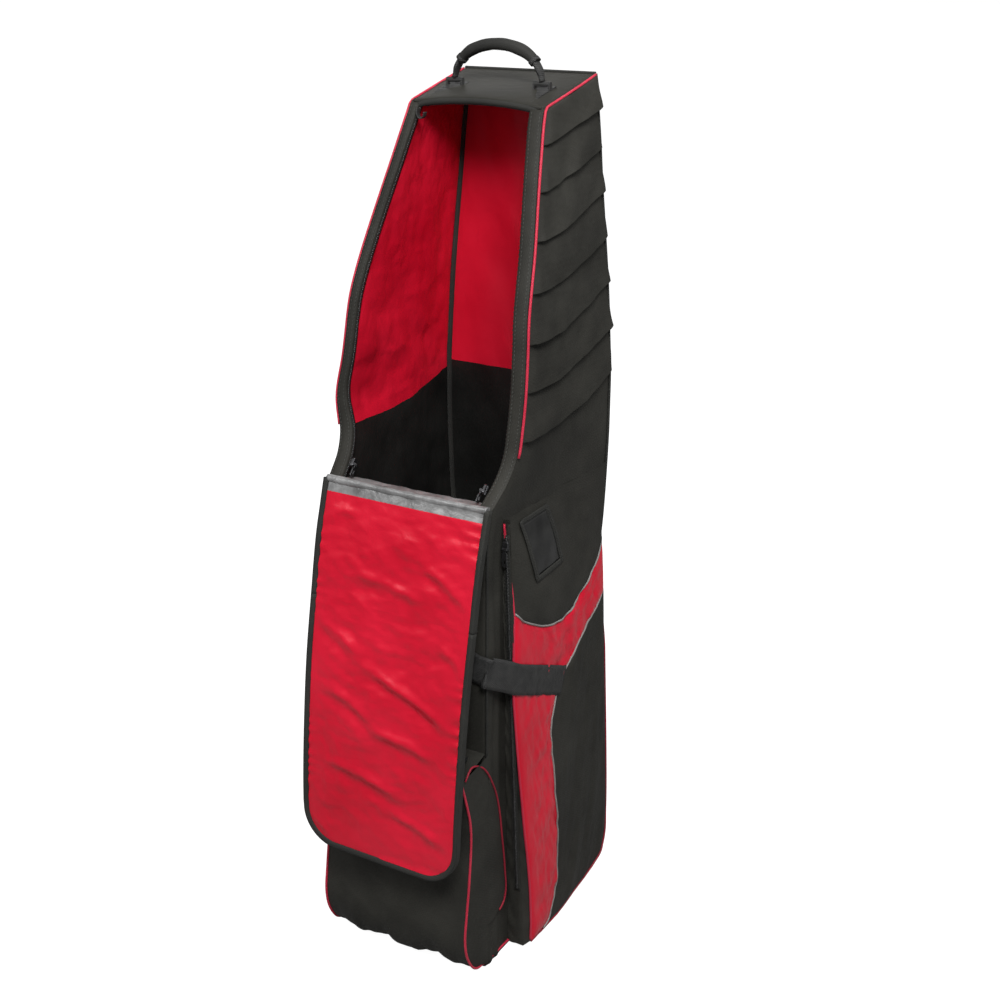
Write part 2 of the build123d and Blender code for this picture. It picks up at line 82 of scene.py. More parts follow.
soft_lamp("key_lamp", (1.15, -1.55, 2.7), (0, -0.15, 0.85), 0.8, 0.8, 74)
soft_lamp("fill_lamp", (-1.4, -2.3, 2.7), (0, -0.2, 0.8), 1.2, 1.2, 30)
soft_lamp("side_lamp", (1.9, 1.0, 3.2), (0.1, 0, 0.9), 0.7, 1.2, 36)
soft_lamp("top_lamp", (0.3, -0.6, 3.8), (0, 0, 0.6), 1.3, 1.3, 14)
soft_lamp("back_lamp", (-1.8, 2.6, 2.0), (0, 0, 0.7), 1.6, 1.6, 16)

studio_air = bpy.data.worlds.new("studio_air")
scene.world = studio_air
studio_air.use_nodes = True
air_nodes, air_links = studio_air.node_tree.nodes, studio_air.node_tree.links
air_nodes["Background"].inputs["Color"].default_value = (1, 1, 1, 1)
air_nodes["Background"].inputs["Strength"].default_value = 0.30
white_wall = air_nodes.new("ShaderNodeBackground")
white_wall.inputs["Color"].default_value = (1, 1, 1, 1)
white_wall.inputs["Strength"].default_value = 1.0
seen = air_nodes.new("ShaderNodeLightPath")
air_mix = air_nodes.new("ShaderNodeMixShader")
air_links.new(seen.outputs["Is Camera Ray"], air_mix.inputs["Fac"])
air_links.new(air_nodes["Background"].outputs["Background"], air_mix.inputs[1])
air_links.new(white_wall.outputs["Background"], air_mix.inputs[2])
air_links.new(air_mix.outputs["Shader"], air_nodes["World Output"].inputs["Surface"])

floor_mesh = bpy.data.meshes.new("studio_floor")
floor_mesh.from_pydata([(-40, -40, 0), (40, -40, 0), (40, 40, 0), (-40, 40, 0)], [], [(0, 1, 2, 3)])
floor = bpy.data.objects.new("studio_floor", floor_mesh)
scene.collection.objects.link(floor)
floor_paint = bpy.data.materials.new("floor_paint")
floor_paint.use_nodes = True
floor_shader = floor_paint.node_tree.nodes["Principled BSDF"]
floor_shader.inputs["Base Color"].default_value = (0.30, 0.30, 0.30, 1)
floor_shader.inputs["Roughness"].default_value = 0.9
floor_shader.inputs["Specular IOR Level"].default_value = 0.1
floor_shader.inputs["Emission Color"].default_value = (0.97, 0.97, 0.97, 1)
floor_seen = floor_paint.node_tree.nodes.new("ShaderNodeLightPath")
floor_paint.node_tree.links.new(floor_seen.outputs["Is Camera Ray"], floor_shader.inputs["Emission Strength"])
floor_mesh.materials.append(floor_paint)

# ---------------------------------------------------------------------------
# Case walls: black woven polyester outside, sheet foam, and a nylon lining
# inside, sewn together at the edges. Five padded walls make the tall body:
# two sides, back, roof and front. The side walls are pleated at the top.
# ---------------------------------------------------------------------------
MM = 0.001
case_widths = [(0, 131), (560, 131), (640, 131.6), (720, 134.5), (790, 144), (850, 148.5),
               (915, 149.5), (980, 147), (1063, 138.5), (1142, 126), (1200, 116), (1259, 106),
               (1310, 103)]
mouth_edge = [(744, -178), (752, -170), (772, -147), (790, -133), (806, -125), (850, -118.5),
              (889, -113.5), (945, -108), (996, -100), (1035, -87), (1073, -71.5), (1110, -56.5),
              (1147, -41.5), (1197, -20.5), (1234, -5), (1262, 8)]
pleat_heights = [829, 897, 963, 1029, 1094, 1155, 1212]
pleat_depth = 10.5
front_y, back_y = -178, 158
roof_front_z, back_top_z, front_top_z = 1257.5, 1297, 742
wall_thickness = 13
red_from_side, red_from_back = 806, 846
wall_columns, back_columns = 61, 49


def smooth_line(points, at):
    """Monotone cubic through (position, value) pairs."""
    x = np.array([p[0] for p in points], float)
    y = np.array([p[1] for p in points], float)
    slope = np.diff(y) / np.diff(x)
    m = np.concatenate([[slope[0]], (slope[1:] + slope[:-1]) / 2, [slope[-1]]])
    flat = np.concatenate([[False], slope[1:] * slope[:-1] <= 0, [False]])
    m[flat] = 0
    for i, s in enumerate(slope):
        if s == 0:
            m[i] = m[i + 1] = 0
        else:
            big = math.hypot(m[i] / s, m[i + 1] / s)
            if big > 3:
                m[i], m[i + 1] = 3 * m[i] / big, 3 * m[i + 1] / big
    at = np.clip(np.asarray(at, float), x[0], x[-1])
    i = np.clip(np.searchsorted(x, at, side="right") - 1, 0, len(x) - 2)
    h = x[i + 1] - x[i]
    t = (at - x[i]) / h
    return ((2 * t**3 - 3 * t**2 + 1) * y[i] + (t**3 - 2 * t**2 + t) * h * m[i]
            + (3 * t**2 - 2 * t**3) * y[i + 1] + (t**3 - t**2) * h * m[i + 1])


def case_half(z):
    """Half the case's width at a height."""
    return smooth_line(case_widths, z)


def ease(a, b, t):
    """0 before a, 1 after b, smooth between."""
    t = np.clip((np.asarray(t, float) - a) / (b - a), 0, 1)
    return t * t * (3 - 2 * t)


back_widths = [(0, 131), (500, 131), (640, 141), (720, 144.5), (790, 146), (850, 146), (925, 142.5),
               (1000, 137.5), (1063, 131.5), (1150, 123), (1200, 119), (1298, 109)]


def half_at(y, z, side):
    """Half the case's width at a point of a side. The left front is pushed out by the load."""
    y, z = np.asarray(y, float), np.asarray(z, float)
    half = case_half(z) + (smooth_line(back_widths, z) - case_half(z)) * ease(-70, 150, y)
    pushed = 13.0 * np.exp(-((z - 846) / 58) ** 2) * ease(60, -90, y)
    return half + (pushed if side < 0 else 0)


def roof_rise(y):
    """How much the roof and the pleats climb towards the back."""
    y = np.asarray(y, float)
    return 0.24 * (np.sqrt((y + 12) ** 2 + 400) + (y + 12)) / 2 - 1.4


def creases(a, b, size, seed, sharp=0.0):
    """Soft folds of cloth over two flat coordinates, roughly -1 to 1. sharp makes them narrow ridges."""
    draw = np.random.default_rng(seed)
    total = np.zeros(np.broadcast(a, b).shape)
    weight = 0
    for octave in range(3):
        reach = size / 1.9**octave
        for _ in range(4):
            turn = draw.uniform(0, 2 * math.pi)
            phase = draw.uniform(0, 2 * math.pi, 2)
            bend = np.sin((a * math.cos(turn + 1.3) + b * math.sin(turn + 1.3)) / reach * 2.1 + phase[1])
            along = (a * math.cos(turn) + b * math.sin(turn)) / reach
            wave = np.sin(along * 2 * math.pi + phase[0] + 1.4 * bend)
            ridge = 1 - 2 * np.abs(wave)
            total += ((1 - sharp) * wave + sharp * ridge) / 1.7**octave
            weight += 1 / 1.7**octave
    return total / weight * 1.9


def places(*coordinates):
    """Points from their x, y and z, each a number or a grid."""
    return np.stack(np.broadcast_arrays(*coordinates), -1)


def sewn_edge(distance, reach):
    """1 at a seam, falling to 0 away from it."""
    return np.exp(-np.clip(distance, 0, None) / reach)


def new_piece(name, parts, materials, body):
    """One mesh object from (points in mm, faces, material number) parts."""
    points, faces, numbers = [], [], []
    start = 0
    for part_points, part_faces, number in parts:
        part_points = np.asarray(part_points, float).reshape(-1, 3)
        points.append(part_points)
        faces += [[i + start for i in f] for f in part_faces]
        numbers += list(number) if hasattr(number, "__len__") else [number] * len(part_faces)
        start += len(part_points)
    mesh = bpy.data.meshes.new(name)
    mesh.from_pydata((np.concatenate(points) * MM).tolist(), [], faces)
    for material in materials:
        mesh.materials.append(material)
    mesh.polygons.foreach_set("material_index", numbers)
    mesh.polygons.foreach_set("use_smooth", [len(face) < 5 for face in faces])
    mesh.update()
    piece = bpy.data.objects.new(name, mesh)
    scene.collection.objects.link(piece)
    if body:
        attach(piece, body)
    return piece


def sheet_faces(rows, columns, flip=False):
    """Quads of a grid of points."""
    faces = []
    for i in range(rows - 1):
        for j in range(columns - 1):
            a = i * columns + j
            quad = [a, a + 1, a + columns + 1, a + columns]
            faces.append(quad[::-1] if flip else quad)
    return faces


def padded_slab(outer, inner, flip=False):
    """A closed slab between two grids of points: points, faces, how many face out, how many in."""
    rows, columns = outer.shape[:2]
    count = rows * columns
    points = np.concatenate([outer.reshape(-1, 3), inner.reshape(-1, 3)])
    out_faces = sheet_faces(rows, columns, flip)
    in_faces = [[i + count for i in f[::-1]] for f in out_faces]
    ring = ([(0, j) for j in range(columns - 1)] + [(i, columns - 1) for i in range(rows - 1)]
            + [(rows - 1, j) for j in range(columns - 1, 0, -1)] + [(i, 0) for i in range(rows - 1, 0, -1)])
    ring = [i * columns + j for i, j in ring]
    rim = []
    for a, b in zip(ring, ring[1:] + ring[:1]):
        quad = [b, a, a + count, b + count]
        rim.append(quad[::-1] if flip else quad)
    return points, out_faces + in_faces + rim, len(out_faces), len(in_faces)


def new_finish(name):
    """A new material, a short way to add nodes to it, its place on the piece, main shader and links."""
    material = bpy.data.materials.new(name)
    material.use_nodes = True
    tree = material.node_tree

    def add(kind, inputs=None, **settings):
        node = tree.nodes.new(kind)
        for key, value in settings.items():
            setattr(node, key, value)
        for key, value in (inputs or {}).items():
            if isinstance(value, bpy.types.NodeSocket):
                tree.links.new(value, node.inputs[key])
            else:
                node.inputs[key].default_value = value
        return node
    place = add("ShaderNodeTexCoord").outputs["Object"]
    return material, add, place, tree.nodes["Principled BSDF"], tree.links


def ramp(add, source, dark, light, low=0.3, high=0.7):
    """Colour between two shades, driven by a pattern."""
    node = add("ShaderNodeValToRGB", {"Fac": source})
    node.color_ramp.elements[0].position = low
    node.color_ramp.elements[1].position = high
    node.color_ramp.elements[0].color = (*dark, 1)
    node.color_ramp.elements[1].color = (*light, 1)
    return node.outputs["Color"]


def woven_cloth(name, dark, light, rough, thread=1.6, weave_depth=0.25, cloud=9.0, crinkle=0.0,
                gloss=0.3, shine=(1, 1, 1)):
    """Cloth with crossing threads, slow shade changes and, if asked, fine crinkles."""
    material, add, place, shader, links = new_finish(name)
    shade = add("ShaderNodeTexNoise", {"Vector": place, "Scale": cloud, "Detail": 4.0, "Roughness": 0.6})
    links.new(ramp(add, shade.outputs["Fac"], dark, light), shader.inputs["Base Color"])
    threads = 1000.0 / thread / (2 * math.pi)
    turned = add("ShaderNodeMapping", {"Vector": place, "Rotation": (0.62, 0.47, 0.31)}).outputs["Vector"]
    warp, weft = [add("ShaderNodeTexWave", {"Vector": turned, "Scale": threads, "Distortion": 0.4},
                      bands_direction=direction) for direction in ("X", "Z")]
    cross = add("ShaderNodeMath", {0: warp.outputs["Fac"], 1: weft.outputs["Fac"]}, operation="MULTIPLY")
    bump = add("ShaderNodeBump", {"Height": cross.outputs[0], "Strength": weave_depth, "Distance": 0.0006})
    if crinkle:
        fold = add("ShaderNodeTexNoise", {"Vector": place, "Scale": 42.0, "Detail": 5.0, "Roughness": 0.55,
                                          "Distortion": 1.2})
        bump = add("ShaderNodeBump", {"Height": fold.outputs["Fac"], "Strength": crinkle, "Distance": 0.006,
                                      "Normal": bump.outputs["Normal"]})
    links.new(bump.outputs["Normal"], shader.inputs["Normal"])
    wear = add("ShaderNodeMapRange",
               {"Value": shade.outputs["Fac"], "To Min": rough - 0.06, "To Max": rough + 0.08})
    links.new(wear.outputs["Result"], shader.inputs["Roughness"])
    shader.inputs["Specular IOR Level"].default_value = gloss
    shader.inputs["Specular Tint"].default_value = (*shine, 1)
    return material


black_polyester = woven_cloth("black_polyester", (0.018, 0.0175, 0.0150), (0.033, 0.032, 0.0275), 0.60,
                              crinkle=0.14, gloss=0.13)
red_nylon = woven_cloth("red_nylon", (0.46, 0.004, 0.018), (0.62, 0.010, 0.033), 0.31, thread=1.1,
                        weave_depth=0.05, cloud=4.0, crinkle=0.10, gloss=0.45, shine=(1.0, 0.42, 0.46))
black_nylon = woven_cloth("black_nylon", (0.006, 0.006, 0.0055), (0.014, 0.014, 0.013), 0.45, thread=1.2,
                          weave_depth=0.08, crinkle=0.12, gloss=0.35)

pleat_rows = []
for lower in pleat_heights:
    pleat_rows += [lower - 1.2, lower, lower + 1.2, lower + 4, lower + 10]
wall_rows = np.unique(np.round(np.concatenate([np.linspace(2, 820, 90), np.linspace(820, roof_front_z, 72),
                                               np.array(pleat_rows)]), 2))


def wall_grid(side, outside):
    """Points of a side wall's outer face, or of its lining."""
    base = wall_rows[:, None]
    across = np.linspace(0, 1, wall_columns)[None, :]
    start = smooth_line([(0, front_y), (743.9, front_y)] + mouth_edge, base)
    if not outside:
        start = start + 3
        base = 14 + (base - 2) * (1246 - 14) / (roof_front_z - 2)
    stop = back_y if outside else back_y - 12
    y = start + across * (stop - start)
    z = base + roof_rise(y) * ease(740, 830, base)
    edge = np.minimum(np.minimum(y - start, stop - y), np.maximum(roof_front_z - base, 0))
    if outside:
        pleat = np.zeros_like(z)
        heights = pleat_heights + [1300]
        for low, high in zip(heights[:-1], heights[1:]):
            inside = (base >= low) & (base < high)
            share = np.clip((base - low) / (high - low), 0, 1)
            pleat = np.where(inside, pleat_depth * (1 - share) ** 1.15, pleat)
        pleat = pleat * ease(2, 20, y - start) * np.clip(0.72 + 0.35 * creases(y, base, 170, 5), 0.35, 1)
        soft = ((1.8 * creases(y, z, 230, 11 if side > 0 else 12)
                 + 1.3 * creases(y * 0.9 + z * 0.4, z - y * 0.4, 88, 13, 0.3) * ease(790, 860, z))
                * (1 - sewn_edge(edge, 30)))
        behind_pouch = ease(-150, -128, y) * ease(735, 700, z)
        tucks = 1.6 * np.sin(y / 3.4 + 1.2 * np.sin(z / 47)) * ease(-176, -168, y) * ease(-138, -146, y)
        soft = soft * (1 - behind_pouch) + 0.8 * tucks * ease(760, 690, z) - 2.0 * behind_pouch
        x = half_at(y, z, side) + pleat + soft - 2.5 * sewn_edge(edge, 7)
    else:
        soft = (5.0 * creases(y + z * 0.25, z * 0.55 - y * 0.3, 150, 21 if side > 0 else 22, 0.25)
                + 2.4 * creases(y * 0.8 + z * 0.6, z * 0.5 - y * 0.4, 66, 23, 0.5))
        soft *= 1 - sewn_edge(edge, 16)
        x = half_at(y, z, side) - 13.5 - soft - 2.0 * (1 - sewn_edge(edge, 25)) + 1.5 * sewn_edge(edge, 6)
    return places(side * x, y, z)


def lining_numbers(heights, columns, join):
    """Red lining in the rows above the join, black lining in those below."""
    return [1 if h >= join else 2 for h in heights[:-1] for _ in range(columns - 1)]


def padded_wall(name, outer, inner, lining, cloths, flip=False, rim=0):
    """A wall of outer cloth, foam and lining. lining says which cloth each inner face is cut from."""
    points, faces, outs, ins = padded_slab(outer, inner, flip)
    if isinstance(lining, int):
        lining = [lining] * ins
    numbers = [0] * outs + lining + [rim] * (len(faces) - outs - ins)
    return new_piece(name, [(points, faces, numbers)], cloths, "case")


both_sides = ((1, "right"), (-1, "left"))
for side, word in both_sides:
    wall = padded_wall(f"side_wall_{word}", wall_grid(side, True), wall_grid(side, False),
                       lining_numbers(wall_rows, wall_columns, red_from_side), [black_polyester, red_nylon, black_nylon],
                       flip=side < 0)
    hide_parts(f"shell_side_{word}", f"foam_side_{word}")

heights = np.linspace(2, back_top_z, 130)[:, None]
across = np.linspace(-1, 1, back_columns)[None, :]
edge = np.minimum((1 - np.abs(across)) * 130, np.minimum(heights - 2, back_top_z - heights))
outer = places(across * (half_at(back_y, heights, 1) - 1.5),
               back_y + 3.5 * (1 - sewn_edge(edge, 45)) - 1.5 * sewn_edge(edge, 6)
               + 1.2 * creases(across * 120, heights, 260, 31) * (1 - sewn_edge(edge, 30)),
               heights)
in_heights = 14 + (heights - 2) * (1282 - 14) / 1295
in_folds = 3.8 * creases(across * 120 + in_heights * 0.3, in_heights * 0.5, 160, 32, 0.2)
inner = places(across * (half_at(back_y, in_heights, 1) - wall_thickness),
               back_y - wall_thickness - (in_folds + 1.5) * (1 - sewn_edge(edge, 22)),
               in_heights)
back_wall = padded_wall("back_wall", outer, inner, lining_numbers(in_heights[:, 0], back_columns, red_from_back),
                        [black_polyester, red_nylon, black_nylon], flip=True)
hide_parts("shell_back", "foam_back", "lining_upper", "lining_lower")

along = np.linspace(8.5, back_y, 36)[:, None]
across = np.linspace(-1, 1, 41)[None, :]
roof_arch = 8.0 * (1 - across**2) * (1 - ease(8, 130, along))
roof_z = roof_front_z + roof_rise(along)
edge = np.minimum((1 - np.abs(across)) * 104, np.minimum(along - 8.5, back_y - along))
outer = places(across * (half_at(along, roof_z, 1) - 1.5),
               along,
               roof_z + roof_arch + 2.0 * (1 - sewn_edge(edge, 30)) - 1.0 * sewn_edge(edge, 5))
inner = outer * np.array([0.885, 0.93, 1.0]) + np.array([0, 2.5, 0])
inner[..., 2] -= 4.5 + 7.0 * ease(8, 45, along)
roof = padded_wall("roof_wall", outer, inner, 1, [black_polyester, red_nylon])
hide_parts("shell_top", "foam_top")

heights = np.linspace(2, front_top_z, 90)[:, None]
across = np.linspace(-1, 1, 41)[None, :]
edge = np.minimum((1 - np.abs(across)) * 128, np.minimum(heights - 2, front_top_z - heights))
outer = places(across * (case_half(heights) - 1.5),
               front_y - 0.5 + 1.5 * sewn_edge(edge, 6)
               - 2.2 * creases(across * 120, heights, 220, 41) * (1 - sewn_edge(edge, 30)),
               heights)
inner = outer * np.array([0.9, 1, 1]) + np.array([0, 11.5, 0])
front_wall = padded_wall("front_wall", outer, inner, 1, [black_polyester, black_nylon], rim=1)
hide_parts("shell_front", "foam_front")

# ---------------------------------------------------------------------------
# Seams: cord covered in red or black tape, sewn into the edges where two
# walls meet. Inside, black tape binds the raw edges in the back corners.
# ---------------------------------------------------------------------------
binding_tape = woven_cloth("binding_tape", (0.012, 0.012, 0.011), (0.024, 0.024, 0.021), 0.72, thread=1.0,
                           weave_depth=0.5)
red_cord = woven_cloth("red_cord", (0.40, 0.012, 0.035), (0.54, 0.028, 0.062), 0.5, thread=1.0,
                       weave_depth=0.4)


def round_section(radius, sides=10):
    """Round outline for a sweep."""
    turn = np.linspace(0, 2 * math.pi, sides, endpoint=False)
    return places(radius * np.cos(turn), radius * np.sin(turn))


def flat_section(width, thick):
    """Rounded flat outline for webbing and tape: width along the first axis."""
    w, t = width / 2, thick / 2
    return np.array([(-w, -t * 0.3), (-w + t * 0.6, -t), (w - t * 0.6, -t), (w, -t * 0.3),
                     (w, t * 0.3), (w - t * 0.6, t), (-w + t * 0.6, t), (-w, t * 0.3)])


def resample(points, step):
    """Evenly spaced points on a smooth curve through the given ones."""
    points = np.asarray(points, float)
    gaps = np.linalg.norm(np.diff(points, axis=0), axis=1)
    place = np.concatenate([[0], np.cumsum(gaps)])
    count = max(3, int(place[-1] / step) + 1)
    at = np.linspace(0, place[-1], count)
    return np.stack([smooth_line(list(zip(place, points[:, k])), at) for k in range(3)], -1)


def tube_faces(n, k, loop=False):
    """Faces round a tube of n rings of k points, shut at both ends unless it joins up."""
    faces = []
    for i in range(n if loop else n - 1):
        for j in range(k):
            a, b = i * k + j, i * k + (j + 1) % k
            c, d = ((i + 1) % n) * k + (j + 1) % k, ((i + 1) % n) * k + j
            faces.append([a, b, c, d])
    if not loop:
        faces += [list(range(k))[::-1], [(n - 1) * k + j for j in range(k)]]
    return faces


def sweep(points, section, side, loop=False, scale=None):
    """A closed tube: the section's first axis lies along side, as far as the path allows."""
    points = np.asarray(points, float)
    if loop:
        run = np.roll(points, -1, 0) - np.roll(points, 1, 0)
    else:
        run = np.gradient(points, axis=0)
    run /= np.linalg.norm(run, axis=1)[:, None]
    side = np.broadcast_to(np.asarray(side, float), points.shape)
    first = side - (side * run).sum(1)[:, None] * run
    first /= np.linalg.norm(first, axis=1)[:, None]
    second = np.cross(run, first)
    size = np.ones(len(points)) if scale is None else np.asarray(scale)
    rings = (points[:, None, :] + section[None, :, 0, None] * first[:, None, :] * size[:, None, None]
             + section[None, :, 1, None] * second[:, None, :] * size[:, None, None])
    return rings.reshape(-1, 3), tube_faces(len(points), len(section), loop)


def corded(points, side, radius, number=0, sides=8, scale=None):
    """A run of corded seam on the right or left side, ready to be a part of a piece."""
    return (*sweep(mirror_points(points, side), round_section(radius, sides), (1, 0, 0), scale=scale), number)


def mirror_points(points, side):
    """The same points on the right (1) or left (-1) side of the case."""
    return np.asarray(points, float) * np.array([side, 1, 1])


def wall_edge(heights):
    """Front edge of the right side wall at some heights."""
    return smooth_line([(0, front_y), (743.9, front_y)] + mouth_edge, heights)


def stitch_row(points, out, length=3.6, gap=2.0, thick=0.55):
    """A row of sewn stitches: short raised threads along a path."""
    points = resample(points, length + gap)
    parts, faces = [], []
    out = np.broadcast_to(np.asarray(out, float), points.shape)
    for i in range(len(points) - 1):
        run = points[i + 1] - points[i]
        run = run / np.linalg.norm(run)
        up = out[i] - (out[i] @ run) * run
        up = up / np.linalg.norm(up)
        across_run = np.cross(run, up)
        base = len(parts)
        for t, h, w in ((-0.5, 0.0, 0.6), (-0.3, 1.0, 1.0), (0.3, 1.0, 1.0), (0.5, 0.0, 0.6)):
            middle = points[i] + run * t * length + up * h * thick
            parts += [middle + across_run * thick * w, middle - across_run * thick * w]
        faces += [[base + 2 * k, base + 2 * k + 1, base + 2 * k + 3, base + 2 * k + 2] for k in range(3)]
    return np.array(parts), faces


for side, word in both_sides:
    zs = np.concatenate([np.linspace(808, 1255, 60), [1258]])
    ys = wall_edge(zs) + 2.5
    xs = half_at(ys, zs, side) + 1.2
    roof_y = np.linspace(16, back_y - 3, 22)
    roof_top = roof_front_z + roof_rise(roof_y) - 1.0
    path = np.concatenate([places(xs, ys, zs),
                           places(half_at(roof_y, roof_top, side) + 0.6, roof_y, roof_top)])
    path = resample(path, 8)
    cord = sweep(mirror_points(path, side), round_section(1.9), (1, 0.3, 0))
    cord = new_piece(f"mouth_piping_{word}", [(*cord, 0)], [red_cord], "case")
    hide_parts(f"piping_{word}")
    zs = np.linspace(100, 1294, 120)
    back_edge = places(half_at(back_y, zs, side) - 0.6, back_y - 0.6, zs)
    zs = np.linspace(24, 1278, 110)
    corner = places(half_at(back_y - 15, zs, side) - 16, back_y - 15.5, zs)
    lower_front = places(130.4, front_y + 0.4, np.linspace(6, 742, 60))
    seams = [corded(back_edge, side, 2.3),
             (*sweep(mirror_points(corner, side), flat_section(8, 1.8), (1, side * -1.0, 0)), 0),
             corded(lower_front, side, 2.0)]
    new_piece(f"seam_tape_{word}", seams, [binding_tape], "case")
roof_back = places(np.linspace(-108, 108, 50), back_y - 0.4, 1296.8)
roof_seam = sweep(roof_back, round_section(2.3, 8), (0, 1, 0))
new_piece("roof_seam_tape", [(*roof_seam, 0)], [binding_tape], "case")

# ---------------------------------------------------------------------------
# Mouth border: a 20 mm strip of the outer cloth folded round the foam, with
# the fixed half of the flap's zip sewn to its inner edge.
# ---------------------------------------------------------------------------
zip_plastic, add, place, shader, links = new_finish("zip_plastic")
speck = add("ShaderNodeTexNoise", {"Vector": place, "Scale": 300.0, "Detail": 2.0})
links.new(ramp(add, speck.outputs["Fac"], (0.012, 0.012, 0.012), (0.03, 0.03, 0.03)),
          shader.inputs["Base Color"])
shader.inputs["Roughness"].default_value = 0.38


def teeth_row(points, out, pitch=3.0, wide=2.3, high=1.5):
    """Moulded zip teeth along a path, standing out of the tape."""
    points = resample(points, pitch)
    run = np.gradient(points, axis=0)
    run /= np.linalg.norm(run, axis=1)[:, None]
    out = np.broadcast_to(np.asarray(out, float), points.shape)
    up = out - (out * run).sum(1)[:, None] * run
    up /= np.linalg.norm(up, axis=1)[:, None]
    over = np.cross(run, up)
    corners, faces = [], []
    for i, p in enumerate(points):
        base = len(corners)
        shift = over[i] * (0.45 if i % 2 else -0.45)
        for h, w, t in ((0.0, wide, 0.62), (high * 0.75, wide, 0.55), (high, wide * 0.7, 0.35)):
            for a, b in ((-1, -1), (1, -1), (1, 1), (-1, 1)):
                corners.append(p + shift + over[i] * a * w + run[i] * b * pitch * t / 1.4 + up[i] * h)
        for k in (0, 4):
            faces += [[base + k + j, base + k + (j + 1) % 4, base + k + 4 + (j + 1) % 4, base + k + 4 + j]
                      for j in range(4)]
        faces.append([base + 8, base + 9, base + 10, base + 11])
    return np.array(corners), faces


stitch_thread = woven_cloth("stitch_thread", (0.03, 0.03, 0.027), (0.05, 0.05, 0.045), 0.55, thread=0.8)


def border_ring(side):
    """Cross-sections of the folded border along the mouth. The left one is rolled in tighter."""
    zs = np.concatenate([np.linspace(745, 830, 26), np.linspace(838, 1259, 62)])
    ys = wall_edge(zs)
    half = half_at(ys, zs, side)
    run = np.gradient(places(ys, zs), axis=0)
    run /= np.linalg.norm(run, axis=1)[:, None]
    in_y, in_z = run[:, 1], -run[:, 0]
    outline = [(-0.8, 1.5), (-1.5, 0.2), (-12, -0.2), (-20.5, 0.2), (-22.6, 1.6), (-23.2, 6), (-22.6, 12.2),
               (-21.4, 12.4), (-20.6, 6.4), (-19.5, 3.6), (-10, 3.2), (-1.6, 3.2)]
    tight = 1 - 0.36 * ease(800, 880, zs) * (side < 0)
    rings = np.stack([places(half + a * tight, ys + in_y * d, zs + in_z * d) for a, d in outline], 1)
    return mirror_points(rings, side), places(half, ys, zs), places(0, in_y, in_z), tight


for side, word in both_sides:
    rings, edge_line, inward, tight = border_ring(side)
    faces = tube_faces(*rings.shape[:2])
    stitch_a = edge_line + np.array([-5.0, 0, 0]) - inward * 0.2
    stitch_b = edge_line + np.array([-18.0, 0, 0]) * tight[:, None] - inward * 0.2
    teeth = edge_line + np.array([-23.6, 0, 0]) * tight[:, None] + inward * 6.5
    parts = [(rings.reshape(-1, 3), faces, 0)]
    for stitches in (stitch_a, stitch_b):
        parts.append((*stitch_row(mirror_points(stitches, side), -inward[0]), 1))
    parts.append((*teeth_row(mirror_points(teeth, side), (-side, 0, 0), wide=1.8), 2))
    border = new_piece(f"mouth_border_{word}", parts, [black_polyester, stitch_thread, zip_plastic], "case")
    if side > 0:
        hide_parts("opening_border")

arch_x = np.linspace(-97, 97, 64)
arch = places(arch_x, 9.0, 1257.2 + 8.0 * (1 - (arch_x / 104) ** 2) - 3.5 * sewn_edge(97 - np.abs(arch_x), 9))
arch_outline = np.array([(-2.2, -3.6), (0.5, -4.4), (2.6, -3.8), (3.0, 2.4), (1.4, 3.4), (-1.8, 3.2)])
arch_strip = sweep(arch, arch_outline, (0, 1, 0.1))
arch_teeth = teeth_row(arch[5:-5] + np.array([0, 2.6, -4.6]), (0, -0.2, -1), wide=1.4, high=1.1)
new_piece("mouth_border_top", [(*arch_strip, 0), (*arch_teeth, 1)], [binding_tape, zip_plastic], "case")

# ---------------------------------------------------------------------------
# Ledge: the front wall's padded top edge, covered in grey lining with a
# silver sheen that is partly real gloss and partly painted highlight and
# shade streaks in its colour, and the rolled seam the flap folds on.
# ---------------------------------------------------------------------------
# Grey lining: its colour swings between dark and light patches that stand for shadows and highlight streaks,
# which are painted shade and painted highlight laid over its real gloss.
grey_lining_painted_light = woven_cloth("grey_lining_painted_light", (0.06, 0.06, 0.06), (0.27, 0.27, 0.27), 0.28, thread=1.2,
                          weave_depth=0.1, cloud=26.0, crinkle=0.45, gloss=0.7)
along = np.linspace(-121, 121, 90)
turns = np.linspace(0, 2 * math.pi, 28, endpoint=False)
rings = []
for x in along:
    end = 1 - 0.25 * sewn_edge(121 - abs(x), 8)
    ripple = 1 + 0.10 * creases(np.array([x]), turns * 14, 60, 51, 0.4)
    y = -159.5 + 19.0 * end * np.sign(np.cos(turns)) * np.abs(np.cos(turns)) ** 0.7 * ripple
    z = 735.5 + 9.0 * end * np.sign(np.sin(turns)) * np.abs(np.sin(turns)) ** 0.8 * ripple
    rings.append(places(x, y, z - 1.5 * math.cos(x / 121 * math.pi / 2)))
rings = np.array(rings)
n, k = rings.shape[:2]
faces = [[i * k + j, (i + 1) * k + j, (i + 1) * k + (j + 1) % k, i * k + (j + 1) % k]
         for i in range(n - 1) for j in range(k)]
faces += [list(range(k)), [(n - 1) * k + j for j in range(k)][::-1]]
ledge = new_piece("ledge_pad", [(rings.reshape(-1, 3), faces, 0)], [grey_lining_painted_light], "case")
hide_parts("front_ledge")

roll_line = places(np.linspace(-134, 134, 70), -182.0, 747.6)
roll_line[:, 2] -= 1.2 * np.cos(roll_line[:, 0] / 134 * math.pi / 2)
roll_size = 1 + 0.10 * np.sin(roll_line[:, 0] / 9.0 + 2 * np.sin(roll_line[:, 0] / 31))
roll = sweep(roll_line, round_section(5.4, 16), (0, 1, 0), scale=roll_size)
fold_roll = new_piece("flap_fold_roll", [(*roll, 0)], [grey_lining_painted_light], "case")

